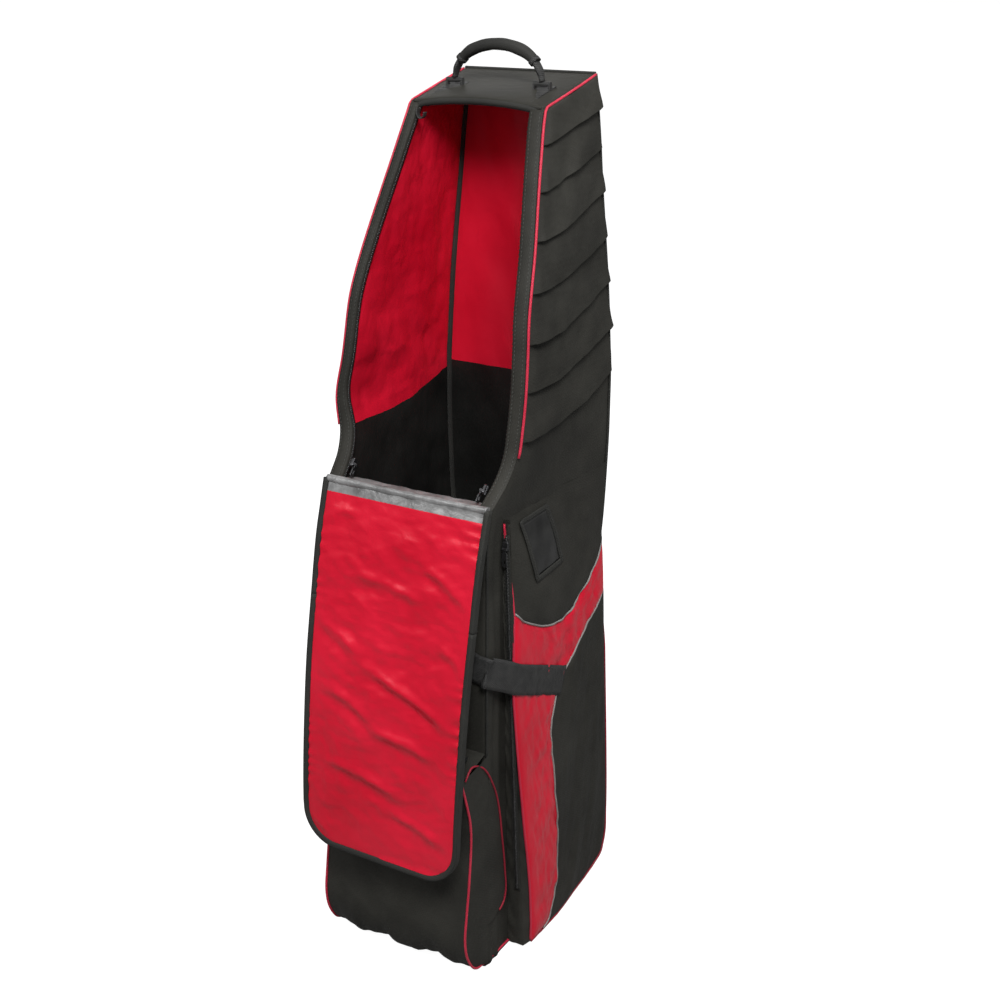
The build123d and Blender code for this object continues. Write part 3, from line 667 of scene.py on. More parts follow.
# ---------------------------------------------------------------------------
# Flap: red nylon lining and black outer cloth over thin foam, bound all
# round in black tape. It hangs open from the rolled seam and bends twice.
# ---------------------------------------------------------------------------
flap_line = [(0, -182.0, 748.0), (40, -193.2, 709.5), (79.2, -204.2, 671.9), (172, -222.6, 581.0),
             (266.1, -239.9, 488.5), (364, -252.6, 391.0), (465, -262.0, 290.5), (560.6, -266.0, 195.1)]
flap_folds = [(-182.0, 748.0), (-203.9, 671.9), (-239.7, 488.5), (-266.0, 195.1)]
flap_half, flap_length, flap_corner = 137.0, 560.0, 56.0
flap_columns = 75
grey_strip = 17
tape_cover = 7.0


flap_folds_in_cloth = [(-128, 205, -40, 248, 2.6), (-30, 262, 112, 318, 3.2), (-112, 300, -10, 342, 2.4),
                       (-20, 352, 100, 372, 2.6), (-95, 418, 40, 446, 2.4), (10, 470, 118, 500, 2.2),
                       (50, 96, 126, 140, 2.6), (-126, 520, -88, 546, 2.8), (-60, 128, 60, 150, 1.8),
                       (84, 205, 128, 232, 2.4), (-128, 60, -80, 40, 2.0)]


def flap_middle(s):
    """y and z of the middle of the hanging flap's cloth, s down from the fold."""
    return np.array([smooth_line([(p[0], p[axis]) for p in flap_line], s) for axis in (1, 2)])


def flap_place(x, s, out):
    """A point of the hanging flap: x across, s down from the fold, out in front of its middle."""
    y, z = flap_middle(s)
    ahead_y, ahead_z = flap_middle(s + 1) - flap_middle(s - 1)
    size = np.hypot(ahead_y, ahead_z)
    return places(x, y + ahead_z / size * out, z - ahead_y / size * out)


def flap_side(s):
    """Half width of the flap at a distance down, round corners included."""
    straight = flap_half - 3 * np.clip(s / flap_length, 0, 1) ** 2
    down = np.clip(s - (flap_length - flap_corner), 0, flap_corner)
    return straight - (flap_corner - np.sqrt(np.maximum(flap_corner**2 - down**2, 0)))


def flap_pad(name, s_low, s_high, at_end):
    """One length of the padded flap, bound edges left to the tape."""
    last = s_high - (tape_cover if at_end else 0)
    s = np.linspace(s_low, last, max(8, int((last - s_low) / 3.0)))[:, None]
    if at_end:
        tail = last - (1 - np.cos(np.linspace(0, math.pi / 2, 22))) * 60
        s = np.unique(np.concatenate([s[s[:, 0] < last - 60, 0], tail]))[:, None]
    u = np.sin(np.linspace(-1, 1, flap_columns) * 1.35)[None, :] / math.sin(1.35)
    half = flap_side(np.minimum(s, flap_length - 6.0) if at_end else s) - 6.5
    if at_end:
        drop = np.clip(s - (flap_length - flap_corner), 0, None)
        inner_corner = flap_corner - tape_cover
        straight = flap_half - 3 * (s / flap_length) ** 2 - tape_cover
        drop = np.minimum(drop, inner_corner)
        half = straight - (inner_corner - np.sqrt(np.maximum(inner_corner**2 - drop**2, 0)))
    x = u * half
    rim = np.minimum((1 - np.abs(u)) * half, flap_length - tape_cover - s)
    rim = np.minimum(rim, s + 3)
    crown = 1 - sewn_edge(rim, 14)
    drape = (3.8 * creases(x * 0.9 + s * 0.45, s * 0.6 - x * 0.3, 190, 61)
             + 3.0 * creases(x * 0.55 + s * 0.8, s * 0.9 - x * 0.45, 78, 62, 0.5)
             + 1.1 * creases(x * 0.5 + s * 0.9, s * 0.6 - x * 0.6, 34, 63, 0.5))
    for x0, s0, x1, s1, size in flap_folds_in_cloth:
        run = np.array([x1 - x0, s1 - s0], float)
        span = np.hypot(*run)
        run /= span
        along_fold = ((x - x0) * run[0] + (s - s0) * run[1]) / span
        off_fold = (x - x0) * -run[1] + (s - s0) * run[0] + 5 * np.sin(along_fold * 3.1)
        taper = ease(-0.15, 0.3, along_fold) * ease(1.15, 0.7, along_fold)
        ridge, trough = np.exp(-(off_fold / 8.0) ** 2), np.exp(-((off_fold - 15) / 10) ** 2)
        drape = drape + 1.9 * size * taper * (ridge - 0.7 * trough)
    gathers = np.sin(s / 3.1 + 2.6 * np.sin(s / 33) + 1.3 * np.sin(s / 11 + 2 * np.sign(u)))
    gathered = np.clip(0.35 + 0.9 * np.sin(s / 47 + np.sign(u) * 1.1), 0.08, 1) * np.where(u > 0, 1, 0.4)
    pucker = 2.4 * gathers * sewn_edge(rim, 11) * gathered
    flat_rim = 1 - sewn_edge(rim, 34)
    front = 3.0 + 1.8 * crown + drape * (0.25 * crown + 0.6 * flat_rim) + pucker
    back = -3.6 - 1.0 * crown - 0.9 * creases(x, s, 170, 64) * crown
    fade = np.exp(-((s - 3) / 9.0) ** 2) * 1.2
    points, faces, outs, ins = padded_slab(flap_place(x, s, front - fade), flap_place(x, s, back))
    front_numbers = [2 if height < grey_strip else 0 for height in s[:-1, 0] for _ in range(flap_columns - 1)]
    numbers = front_numbers + [1] * (len(faces) - outs)
    pad = new_piece(name, [(points, faces, numbers)], [red_nylon, black_polyester, grey_lining_painted_light], None)
    count = s.size * flap_columns
    cut_rows = {0, s.size - 1} if not at_end else {0}
    for edge in pad.data.edges:
        a, b = edge.vertices
        row_a, row_b = a // flap_columns % s.size, b // flap_columns % s.size
        if row_a in cut_rows and row_b == row_a and (a < count) == (b < count):
            edge.use_edge_sharp = True
    return pad


def flap_edge(s_low, s_high, at_end):
    """Middle line of the binding tape on one length of the flap, down the right side and round."""
    top_s = np.arange(s_low, min(s_high, flap_length - flap_corner) + 0.1, 6.0)
    if not at_end:
        top_s = np.append(top_s[top_s < s_high - 2], s_high)
        right = places(flap_side(top_s) - 3.5, top_s)
        return [right, right[::-1] * np.array([-1, 1])]
    turn = np.linspace(0, math.pi / 2, 16)
    base = flap_length - flap_corner
    corner_x = flap_half - 3 - flap_corner + (flap_corner - 3.5) * np.cos(turn)
    corner_s = base + (flap_corner - 3.5) * np.sin(turn)
    down = places(flap_side(top_s) - 3.5, top_s)
    corner = places(corner_x, corner_s)
    right = np.concatenate([down[down[:, 1] < base - 3], corner])
    flat = places(np.linspace(right[-1, 0], -right[-1, 0], 24)[1:-1], right[-1, 1])
    left = right[::-1] * np.array([-1, 1])
    return [np.concatenate([right, flat, left])]


cut = 172.0
for name, low, high, end, fold, upper, lower, reach, nodes in (
        ("upper", 3.0, cut, False, 1, "flap_a", "flap_b", 30.0,
         ("flap_panel_a", "flap_lining_a", "flap_panel_b", "flap_lining_b")),
        ("lower", cut, flap_length, True, 2, "flap_b", "flap_c", 42.0, ("flap_panel_c", "flap_lining_c"))):
    (uy, uz), (dy, dz) = flap_folds[fold - 1], flap_folds[fold + 1]
    step = np.array([0, dy - uy, dz - uz])
    step = step / np.linalg.norm(step) * reach
    pad = flap_pad(f"flap_pad_{name}", low, high, end)
    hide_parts(*nodes)
    tapes = []
    for line in flap_edge(low if low > 5 else 0.0, high, end):
        middle = flap_place(line[:, 0], line[:, 1], 0.0)
        tape_outline = np.array([(-4.2, 0), (-3.6, 3.6), (-1.5, 5.2), (2.0, 5.6), (4.6, 5.3), (4.6, 3.6),
                                 (4.6, -3.6), (4.6, -4.9), (1.0, -5.3), (-2.4, -4.6), (-3.9, -3.0)])
        run = np.gradient(middle, axis=0)
        run /= np.linalg.norm(run, axis=1)[:, None]
        facing = flap_place(line[:, 0], line[:, 1], 1.0) - middle
        first = np.cross(facing, run)
        tapes.append((*sweep(middle, tape_outline, first), 0))
    tape = new_piece(f"flap_binding_{name}", tapes, [binding_tape], None)
    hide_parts(*(["flap_binding_c"] if end else ["flap_binding_a", "flap_binding_b"]))
    for piece in (pad, tape):
        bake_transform(piece)

# ---------------------------------------------------------------------------
# Side pockets: a pouch on each side, cut from black cloth with a curved red
# nylon panel between two seams corded in grey, and red piping round its edge.
# ---------------------------------------------------------------------------
grey_cord = woven_cloth("grey_cord", (0.16, 0.15, 0.145), (0.26, 0.25, 0.24), 0.5, thread=1.0,
                        weave_depth=0.4)
# A half-bright copy of the red cord, used for the pouch piping's rear and bottom run and for the front pouch's
# curved side seams: painted shade.
red_cord_painted_shade = woven_cloth("red_cord_painted_shade", (0.20, 0.006, 0.018), (0.30, 0.012, 0.03), 0.55, thread=1.0,
                            weave_depth=0.4)
def cloth_part(grid, number=0, flip=False):
    """A grid of points as a sheet of cloth, ready to be a part of a piece."""
    return grid.reshape(-1, 3), sheet_faces(*grid.shape[:2], flip=flip), number


pouch_depth = [(4, 163.5), (60, 165.5), (139, 165), (254, 161), (360, 156), (460, 151.5), (540, 148),
               (620, 142), (700, 136.4), (722, 134.6)]
pouch_front = [(5, -91), (12, -91.5), (57, -94.5), (104, -98.5), (153, -104.5), (216, -113), (275, -119),
               (334, -124.5), (390, -128.5), (452, -132), (498, -129.5), (540, -125.5), (574, -122),
               (601, -122.5), (635, -126.5), (669, -131), (702, -135.5), (722, -137.5)]
pouch_back_y, pouch_top = 157.5, 722
upper_seam = [(-122, 574), (-106, 558), (-90, 548), (-71, 538), (-50, 528), (-24, 520.5), (2, 517), (29, 518),
              (52, 525), (76, 537), (101, 550), (126, 567), (148, 588), (157.5, 600)]
lower_seam = [(6, -61), (10, -47), (31, -32), (59, -22), (87, -17), (133, -16.5), (179, -19), (225, -24),
              (273, -27), (315, -30), (344, -31.5), (362, -27.5), (385, -17), (402, -6), (419, 11),
              (437, 32), (454, 51), (465, 69), (475, 88), (487, 112), (500, 136), (512, 157.5)]


def pouch_surface(y, z, shape_seed):
    """How far out the pouch's cloth lies at a point of its side, folds and seams included."""
    y, z = np.asarray(y, float), np.asarray(z, float)
    z_up = smooth_line(upper_seam, y)
    y_low = smooth_line(lower_seam, z)
    front = y - smooth_line(pouch_front, z)
    back = 158 - y
    bottom = np.where(y > -3, (z - (14 + 0.17 * (y - 48))), z - 5)
    edge = np.minimum(np.minimum(front, back), np.maximum(bottom, 0))
    free = 1 - sewn_edge(edge, 26)
    out = smooth_line(pouch_depth, z) + 3.2 * free - 3.6 * sewn_edge(edge, 4.5)
    above = ease(-6, 6, z - z_up)
    rear = ease(-5, 5, y - y_low) * (1 - above)
    red = (1 - above) * (1 - rear)
    below = z_up - z
    out += red * 2.2 * np.sin(y / 6.3 + 1.3 * np.sin(y / 23)) * np.exp(-np.clip(below, 0, 400) / 26) * free
    out += red * 3.4 * creases(y * 0.9 + z * 0.45, z * 0.5 - y * 0.35, 72, shape_seed, 0.4) * free
    out += red * 1.5 * creases(y * 1.2 + z * 0.5, z * 0.4 - y * 0.5, 30, shape_seed + 4, 0.5) * free
    out += rear * 4.6 * creases(y * 1.3 - z * 0.3, z * 0.2, 112, shape_seed + 1, 0.2) * free
    out += rear * 1.0 * creases(y, z * 0.5, 50, shape_seed + 2, 0.3) * free
    out += above * 2.6 * creases(y * 0.8 + z * 0.3, z * 0.7 - y * 0.3, 120, shape_seed + 3, 0.15) * free
    pinch = np.exp(-((z - (474 - 0.43 * (y + 127))) / 34) ** 2) * ease(60, -10, y)
    out -= 3.0 * pinch * free
    for distance in (np.abs(z - z_up) * 0.85, np.where(z < 516, np.abs(y - y_low) * 0.8, 99)):
        out -= 1.7 * np.exp(-(distance / 4.5) ** 2) * free
    return np.maximum(out - 3.4 * ease(668, pouch_top, z), half_at(y, z, 1) + 1.2 - 2.2 * ease(690, pouch_top, z))


def pouch_back_edge(t):
    """The pouch's outer edge from the back top (t 0) down and round to the bottom front (t 1)."""
    line = np.array([(157.5, 512), (157.5, 300), (157.5, 115), (153, 80), (133, 46), (90, 24), (57, 16),
                     (0, 6), (-61, 5.5)])
    place = np.concatenate([[0], np.cumsum(np.linalg.norm(np.diff(line, axis=0), axis=1))])
    place /= place[-1]
    return smooth_line(list(zip(place, line[:, 0])), t), smooth_line(list(zip(place, line[:, 1])), t)


def pouch_panels():
    """(y, z) grids of the upper, red and rear panels."""
    s = np.linspace(0, 1, 74)[None, :]
    r = np.linspace(0, 1, 48)[:, None]
    low_y = -122 + s * 279.5
    low_z = smooth_line(upper_seam, low_y)
    z = low_z + r * (pouch_top - low_z)
    y = smooth_line(pouch_front, z) * (1 - s) + pouch_back_y * s
    upper = places(y, z)

    t = np.linspace(0, 1, 150)
    seam_t = [(0, 6), (0.42, 320), (0.52, 395), (0.64, 437), (0.78, 468), (1, 512)]
    right_z = smooth_line(seam_t, t)
    right_y = smooth_line(lower_seam, right_z)
    left_z = np.where(t < 0.6, smooth_line([(0, 8), (0.42, 360), (0.6, 574), (1, 900)], t), 0)
    seam_y = smooth_line([(0.6, -122), (0.7, -60), (0.85, 60), (1, 157.5)], t)
    left_y = np.where(t < 0.6, smooth_line(pouch_front, left_z), seam_y)
    left_z = np.where(t < 0.6, left_z, smooth_line(upper_seam, seam_y))
    u = np.linspace(0, 1, 40)[None, :]
    red = places(left_y[:, None] * (1 - u) + right_y[:, None] * u,
                 left_z[:, None] * (1 - u) + right_z[:, None] * u)

    t = np.linspace(0.003, 0.997, 120)
    seam_z = smooth_line([(0, 512), (0.16, 470), (0.3, 420), (0.42, 350), (0.7, 170), (1, 6)], t)
    seam_y = smooth_line(lower_seam, seam_z)
    edge_y, edge_z = pouch_back_edge(t)
    u = np.linspace(0, 1, 48)[None, :]
    rear = places(seam_y[:, None] * (1 - u) + edge_y[:, None] * u,
                  seam_z[:, None] * (1 - u) + edge_z[:, None] * u)
    return upper, red, rear


def pouch_line(yz, seed, lift=0.0):
    """Points on the pouch's cloth above a list of (y, z)."""
    yz = np.asarray(yz, float)
    return places(pouch_surface(yz[:, 0], yz[:, 1], seed) + lift, yz[:, 0], yz[:, 1])


zip_length = 590
zip_top = np.array([136.6, -136.62, 698.0])
zip_down = np.array([0.0184, 0.0401, -0.999])
zip_down = zip_down / np.linalg.norm(zip_down)
zip_out = np.array([0, -0.9992, -0.0401])

pouch_seeds = {"right": 71, "left": 81}
for side, word in both_sides:
    seed = pouch_seeds[word]
    parts = []
    for grid, number in zip(pouch_panels(), (0, 1, 0)):
        x = pouch_surface(grid[..., 0], grid[..., 1], seed)
        points = places(side * x, grid[..., 0], grid[..., 1])
        parts.append(cloth_part(points, number, flip=side < 0))
    zs = np.linspace(721, 6, 150)
    edge = pouch_line(places(smooth_line(pouch_front, zs), zs), seed)
    down = (698 - zs)[:, None]
    track = zip_top + zip_down * down
    wall = places(case_half(zs) - 1.5, track[:, 1] + 1.0, zs)
    inner_track, outer_track = track + np.array([-6.5, 1.0, 0]), track + np.array([6.5, 1.0, 0])
    inner_track[:, 0] = np.maximum(inner_track[:, 0], wall[:, 0] + 0.3)
    wrinkle = np.sin(zs / 7.0 + 2 * np.sin(zs / 31))[:, None] * np.array([0.0, -1.0, 0])
    columns = []
    for a, b, steps in ((wall, inner_track, 4), (inner_track, outer_track, 2), (outer_track, edge, 6)):
        for k in range(steps):
            share = k / steps
            ripple = wrinkle * (1.3 * math.sin(share * math.pi) if steps > 2 else 0)
            columns.append(a * (1 - share) + b * share + ripple)
    columns.append(edge)
    gusset = np.stack(columns, 1)
    gusset[..., 2] = zs[:, None]
    parts.append(cloth_part(mirror_points(gusset, side), flip=side < 0))
    turn = np.linspace(0, 1, 170)
    rim_y = np.concatenate([np.full(30, pouch_back_y), pouch_back_edge(turn)[0], np.linspace(-63, -91, 8)])
    rim_z = np.concatenate([np.linspace(721, 516, 30), pouch_back_edge(turn)[1], np.full(8, 5.5)])
    rim = pouch_line(places(rim_y, rim_z), seed)
    foot = rim.copy()
    foot[:, 0] = case_half(rim_z) - 2
    middle_y = rim[:, 1] + np.where(rim_z > 100, 1.6, 0)
    middle = places(rim[:, 0] * 0.5 + foot[:, 0] * 0.5, middle_y, rim_z - np.where(rim_z < 60, 0.8, 0))
    band = np.stack([rim, rim * 0.75 + middle * 0.25, middle, foot * 0.9 + middle * 0.1, foot], 1)
    parts.append(cloth_part(mirror_points(band, side), flip=side < 0))
    pouch = new_piece(f"side_pouch_{word}", parts, [black_polyester, red_nylon], "case")
    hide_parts(f"side_pocket_{word}")

    ys = np.linspace(-121, 156, 90)
    upper_cord = pouch_line(places(ys, smooth_line(upper_seam, ys)), seed, 0.6)
    zs = np.linspace(8, 509, 150)
    lower_cord = pouch_line(places(smooth_line(lower_seam, zs), zs), seed, 0.6)
    cords = []
    for cord in (upper_cord, lower_cord):
        cord = resample(cord, 5)
        thin_end = 0.35 + 0.65 * ease(0, 5, np.arange(len(cord))[::-1])
        cord[:, 0] -= 1.2 * (1 - thin_end)
        cords.append(corded(cord, side, 1.5, scale=thin_end))
    new_piece(f"pouch_grey_piping_{word}", cords, [grey_cord], "case")
    zs = np.linspace(714, 9, 170)
    front_cord = pouch_line(places(smooth_line(pouch_front, zs), zs), seed) + np.array([0.4, -1.0, 0])
    low = turn > 0.05
    rear_y, rear_z = pouch_back_edge(turn[low])
    rear_cord = pouch_line(places(rear_y, rear_z), seed) + np.array([0.4, 0.6, -0.4])
    low_y, low_z = np.linspace(-62, -90, 8), np.full(8, 5.6)
    rear_cord = np.concatenate([rear_cord, pouch_line(places(low_y, low_z), seed)[1:]])
    rear_cord = resample(rear_cord, 6)
    thin_end = 0.2 + 0.8 * ease(0, 12, np.arange(len(rear_cord)))
    rear_cord[:, :2] -= 1.4 * (1 - thin_end)[:, None]
    # The rear and bottom run of the red piping gets the darker copy of the red cord: painted shade.
    edges = [corded(resample(front_cord, 5), side, 1.8),
             corded(rear_cord, side, 1.8, 1, scale=thin_end)]
    new_piece(f"pouch_red_piping_{word}", edges, [red_cord, red_cord_painted_shade], "case")

    tape_line = zip_top + zip_down * np.linspace(0, zip_length, 120)[:, None] + zip_out * 0.1
    tape = sweep(mirror_points(tape_line, side), flat_section(10.4, 0.9), (1, 0, 0))
    row = zip_top + zip_down * np.linspace(4, zip_length - 4, 60)[:, None] + zip_out * 0.5
    teeth = teeth_row(mirror_points(row, side), zip_out, pitch=2.6, wide=1.7, high=1.2)
    rows = [stitch_row(mirror_points(tape_line + np.array([offset, -0.35, 0]), side), zip_out, thick=0.35)
            for offset in (-4.2, 4.2)]
    zip_piece = new_piece(f"pouch_zip_{word}",
                          [(*tape, 0), (*teeth, 1), (*rows[0], 2), (*rows[1], 2)],
                          [binding_tape, zip_plastic, stitch_thread], "case")
    if side > 0:
        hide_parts("side_zips")

# ---------------------------------------------------------------------------
# Name window: a clear vinyl pocket in a frame of black tape, sewn slanting
# onto the right pouch, with room for a card behind it.
# ---------------------------------------------------------------------------
clear_vinyl, add, place, shader, links = new_finish("clear_vinyl")
haze = add("ShaderNodeTexNoise", {"Vector": place, "Scale": 30.0, "Detail": 3.0})
links.new(ramp(add, haze.outputs["Fac"], (0.012, 0.012, 0.012), (0.024, 0.024, 0.023)),
          shader.inputs["Base Color"])
wave = add("ShaderNodeTexNoise", {"Vector": place, "Scale": 22.0, "Detail": 1.0})
bump = add("ShaderNodeBump", {"Height": wave.outputs["Fac"], "Strength": 0.35, "Distance": 0.004})
links.new(bump.outputs["Normal"], shader.inputs["Normal"])
shader.inputs["Roughness"].default_value = 0.34
shader.inputs["Specular IOR Level"].default_value = 0.22
shader.inputs["Coat Weight"].default_value = 0.05
shader.inputs["Coat Roughness"].default_value = 0.15
window_corners = np.array([(-64, 603), (17, 607), (-22, 708), (-100, 706)], float)


def window_grid(inset_share, rows=20, columns=16):
    """(y, z) grid inside the window's outline, drawn in by a share."""
    middle = window_corners.mean(0)
    corner = middle + (window_corners - middle) * (1 - inset_share)
    u = np.linspace(0, 1, columns)[None, :, None]
    v = np.linspace(0, 1, rows)[:, None, None]
    return (corner[0] * (1 - u) + corner[1] * u) * (1 - v) + (corner[3] * (1 - u) + corner[2] * u) * v


grid = window_grid(0.14)
grid_y, grid_z = grid[..., 0], grid[..., 1]
pouch_x = pouch_surface(grid_y, grid_z, pouch_seeds["right"])
points, faces, outs, ins = padded_slab(places(pouch_x + 1.5, grid_y, grid_z),
                                       places(pouch_x + 0.4, grid_y, grid_z))
window = new_piece("name_window", [(points, faces, 0)], [clear_vinyl], "case")
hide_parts("id_window")
parts = []
loop = np.concatenate([np.linspace(window_corners[i], window_corners[(i + 1) % 4], 22)[:-1]
                       for i in range(4)])
middle = window_corners.mean(0)
loop = middle + (loop - middle) * 0.93
frame_line = pouch_line(loop, pouch_seeds["right"], 1.7)
inwards = np.concatenate([np.zeros((len(loop), 1)), middle - loop], 1)
frame_tape = sweep(frame_line, flat_section(9.5, 1.6), inwards, loop=True)
stitch_line = np.concatenate([frame_line, frame_line[:1]]) + np.array([1.0, 0, 0])
frame_stitch = stitch_row(stitch_line, (1, 0, 0), thick=0.4)
frame_piece = new_piece("name_window_frame", [(*frame_tape, 0), (*frame_stitch, 1)],
                        [binding_tape, stitch_thread], "case")
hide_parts("id_frame")

# ---------------------------------------------------------------------------
# Front pocket: a deep pouch low on the front, zipped across its top, with
# red piping down its front corners and a curved seam round each side.
# ---------------------------------------------------------------------------
pocket_edge = np.array([(-236, 353), (-239, 347), (-236, 338), (-226, 308), (-217, 276), (-214.5, 245),
                        (-217, 205), (-222, 160), (-228, 118), (-232, 85), (-229, 58), (-220, 36), (-207, 18),
                        (-196, 11), (-183, 9)])
pocket_edge = resample(np.concatenate([np.zeros((len(pocket_edge), 1)), pocket_edge], 1), 6)[:, 1:]
count = len(pocket_edge)
pocket_half = 126
across = np.linspace(-1, 1, 65)[None, :]
run = np.gradient(pocket_edge, axis=0)
run /= np.linalg.norm(run, axis=1)[:, None]
edge_y, edge_z = pocket_edge[:, :1], pocket_edge[:, 1:]
out_y, out_z = run[:, 1:], -run[:, :1]
rows = np.arange(count)[:, None] / (count - 1)
middle_swell = np.sin(np.clip(rows, 0, 1) * math.pi) ** 0.6
side_ease = 1 - sewn_edge((1 - np.abs(across)) * pocket_half, 22)
low_share = ease(0.68, 0.9, rows) * (1 - ease(0.94, 1.0, rows))
swell = (5.0 * middle_swell * side_ease
         + 3.2 * creases(across * pocket_half, rows * 360, 130, 91, 0.2) * side_ease * middle_swell
         + 5.0 * low_share * creases(across * pocket_half, 0, 82, 97) * side_ease)
parts = [cloth_part(places(across * pocket_half, edge_y + out_y * swell, edge_z + out_z * swell), flip=True)]
lid_back, lid_front = np.array([-179.5, 371.5]), np.array([-236, 353.0])
lid_rows = np.linspace(0, 1, 14)[:, None]
lid_y, lid_z = [lid_back[k] + (lid_front[k] - lid_back[k]) * lid_rows for k in (0, 1)]
lid = places(across * (129 - 3 * lid_rows), lid_y, lid_z - 0.8 * np.sin(lid_rows * math.pi))
parts.append(cloth_part(lid, flip=True))
behind_y = -176.0
behind_z = np.interp(np.arange(count), [0, count * 0.25, count - 1], [371.5, 300, 9])[:, None]
deep = np.linspace(0, 1, 12)[None, :]
side_x = (pocket_half + 7.5 * np.sin(deep * math.pi / 2)
          + 1.5 * creases(deep * 60, rows * 360, 90, 93, 0.2) * np.sin(deep * math.pi))
for side in (1, -1):
    cheek = places(side * side_x, edge_y * (1 - deep) + behind_y * deep,
                   edge_z * (1 - deep) + behind_z * deep)
    parts.append(cloth_part(cheek, flip=side < 0))
pocket_floor = places(across * pocket_half, np.array([[-183], [behind_y]]), 9.0)
parts.append(cloth_part(pocket_floor, flip=True))
front_pouch = new_piece("front_pouch", parts, [black_polyester], "case")
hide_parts("front_pocket")

side_seam = [(-233, 352), (-215, 366), (-197, 360), (-181, 342), (-169, 322), (-158, 300), (-150, 277),
             (-144, 253), (-140, 229), (-136, 205), (-132, 182), (-129, 160), (-126, 136), (-124, 118),
             (-126, 103), (-132, 92), (-144, 86)]
for side, word in both_sides:
    seam = np.array([(0, y, z) for y, z in side_seam], float)
    seam = resample(seam, 6)
    seam[:, 0] = 127.5 + 6.3 * ease(-214, -180, seam[:, 1]) - 0.6 * ease(-160, -130, seam[:, 1])
    strip_rows = []
    for x, y, z in seam:
        ahead = np.linspace(0, 1, 9)
        strip_rows.append(places(x - 0.4 + 1.4 * np.sin(ahead * math.pi),
                                 y + (min(-177.0, y - 0.5) - y) * ahead, z - 8 * ahead))
    strip = np.array([row for row, point in zip(strip_rows, seam) if point[1] > front_y])
    strip_parts = [cloth_part(mirror_points(strip, side), flip=side > 0),
                   corded(seam + np.array([0.6, 0, 0]), side, 1.5, 1)]
    corner = places(127.0, pocket_edge[:, 0] - 0.6, pocket_edge[:, 1])[1:]
    bottom = places(np.linspace(127, 131, 16), np.linspace(-186, -80, 16), 7.5)
    strip_parts.append(corded(resample(np.concatenate([corner, bottom[1:]]), 6), side, 1.9, 2))
    new_piece(f"front_pouch_seams_{word}", strip_parts, [black_polyester, red_cord_painted_shade, red_cord], "case")

zip_middle = np.array([0, -204, 372 - 26 * 19 / 58]) + np.array([0, -0.3113, 0.9503]) * 1.1
zip_slope = np.array([0, -58, -19]) / math.hypot(58, 19)
lid_out = np.array([0, -19, 58]) / math.hypot(58, 19)
line = zip_middle + places(np.linspace(-104, 104, 80), 0, 0)
tape = sweep(line - lid_out * 0.4, flat_section(22, 1.0), zip_slope)
row = line[2:-2] + lid_out * 0.1
teeth = teeth_row(row, lid_out, pitch=2.6, wide=1.7, high=1.2)
rows_of_stitches = [stitch_row(line + zip_slope * offset + lid_out * 0.15, lid_out, thick=0.4)
                    for offset in (-9, 9)]
lid_zip = new_piece("front_pouch_zip", [(*tape, 0), (*teeth, 1)] + [(*r, 2) for r in rows_of_stitches],
                    [binding_tape, zip_plastic, stitch_thread], "case")
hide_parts("front_zip")

# ---------------------------------------------------------------------------
# Compression strap: black webbing sewn into the pouch's seam on each side,
# drawn round the front and closed with a side-release buckle.
# ---------------------------------------------------------------------------
webbing, add, place, shader, links = new_finish("webbing")
tone = add("ShaderNodeTexNoise", {"Vector": place, "Scale": 60.0, "Detail": 3.0})
links.new(ramp(add, tone.outputs["Fac"], (0.012, 0.012, 0.012), (0.026, 0.026, 0.025)),
          shader.inputs["Base Color"])
ribs = add("ShaderNodeTexWave", {"Vector": place, "Scale": 130.0, "Distortion": 0.8}, bands_direction="Z")
twill = add("ShaderNodeTexWave", {"Vector": place, "Scale": 190.0, "Distortion": 0.5},
            bands_direction="DIAGONAL")
cross = add("ShaderNodeMath", {0: ribs.outputs["Fac"], 1: twill.outputs["Fac"]}, operation="ADD")
bump = add("ShaderNodeBump", {"Height": cross.outputs[0], "Strength": 0.6, "Distance": 0.0008})
links.new(bump.outputs["Normal"], shader.inputs["Normal"])
shader.inputs["Roughness"].default_value = 0.62


def ribbon(middle, width_dir, width, thick=1.9, loop_sections=9):
    """Flat webbing along a path, its width along the given directions."""
    middle = np.asarray(middle, float)
    w, t = width / 2, thick / 2
    half = np.linspace(-1, 1, loop_sections)
    rib = 0.18 * np.cos(half * math.pi * 3)
    outline = np.concatenate([places(half * w, -t - rib * (np.abs(half) < 0.95)),
                              places(half[::-1] * w, t + rib * (np.abs(half) < 0.95))])
    outline[0, 1] = outline[loop_sections - 1, 1] = -t * 0.4
    outline[loop_sections, 1] = outline[-1, 1] = t * 0.4
    return sweep(middle, outline, width_dir)


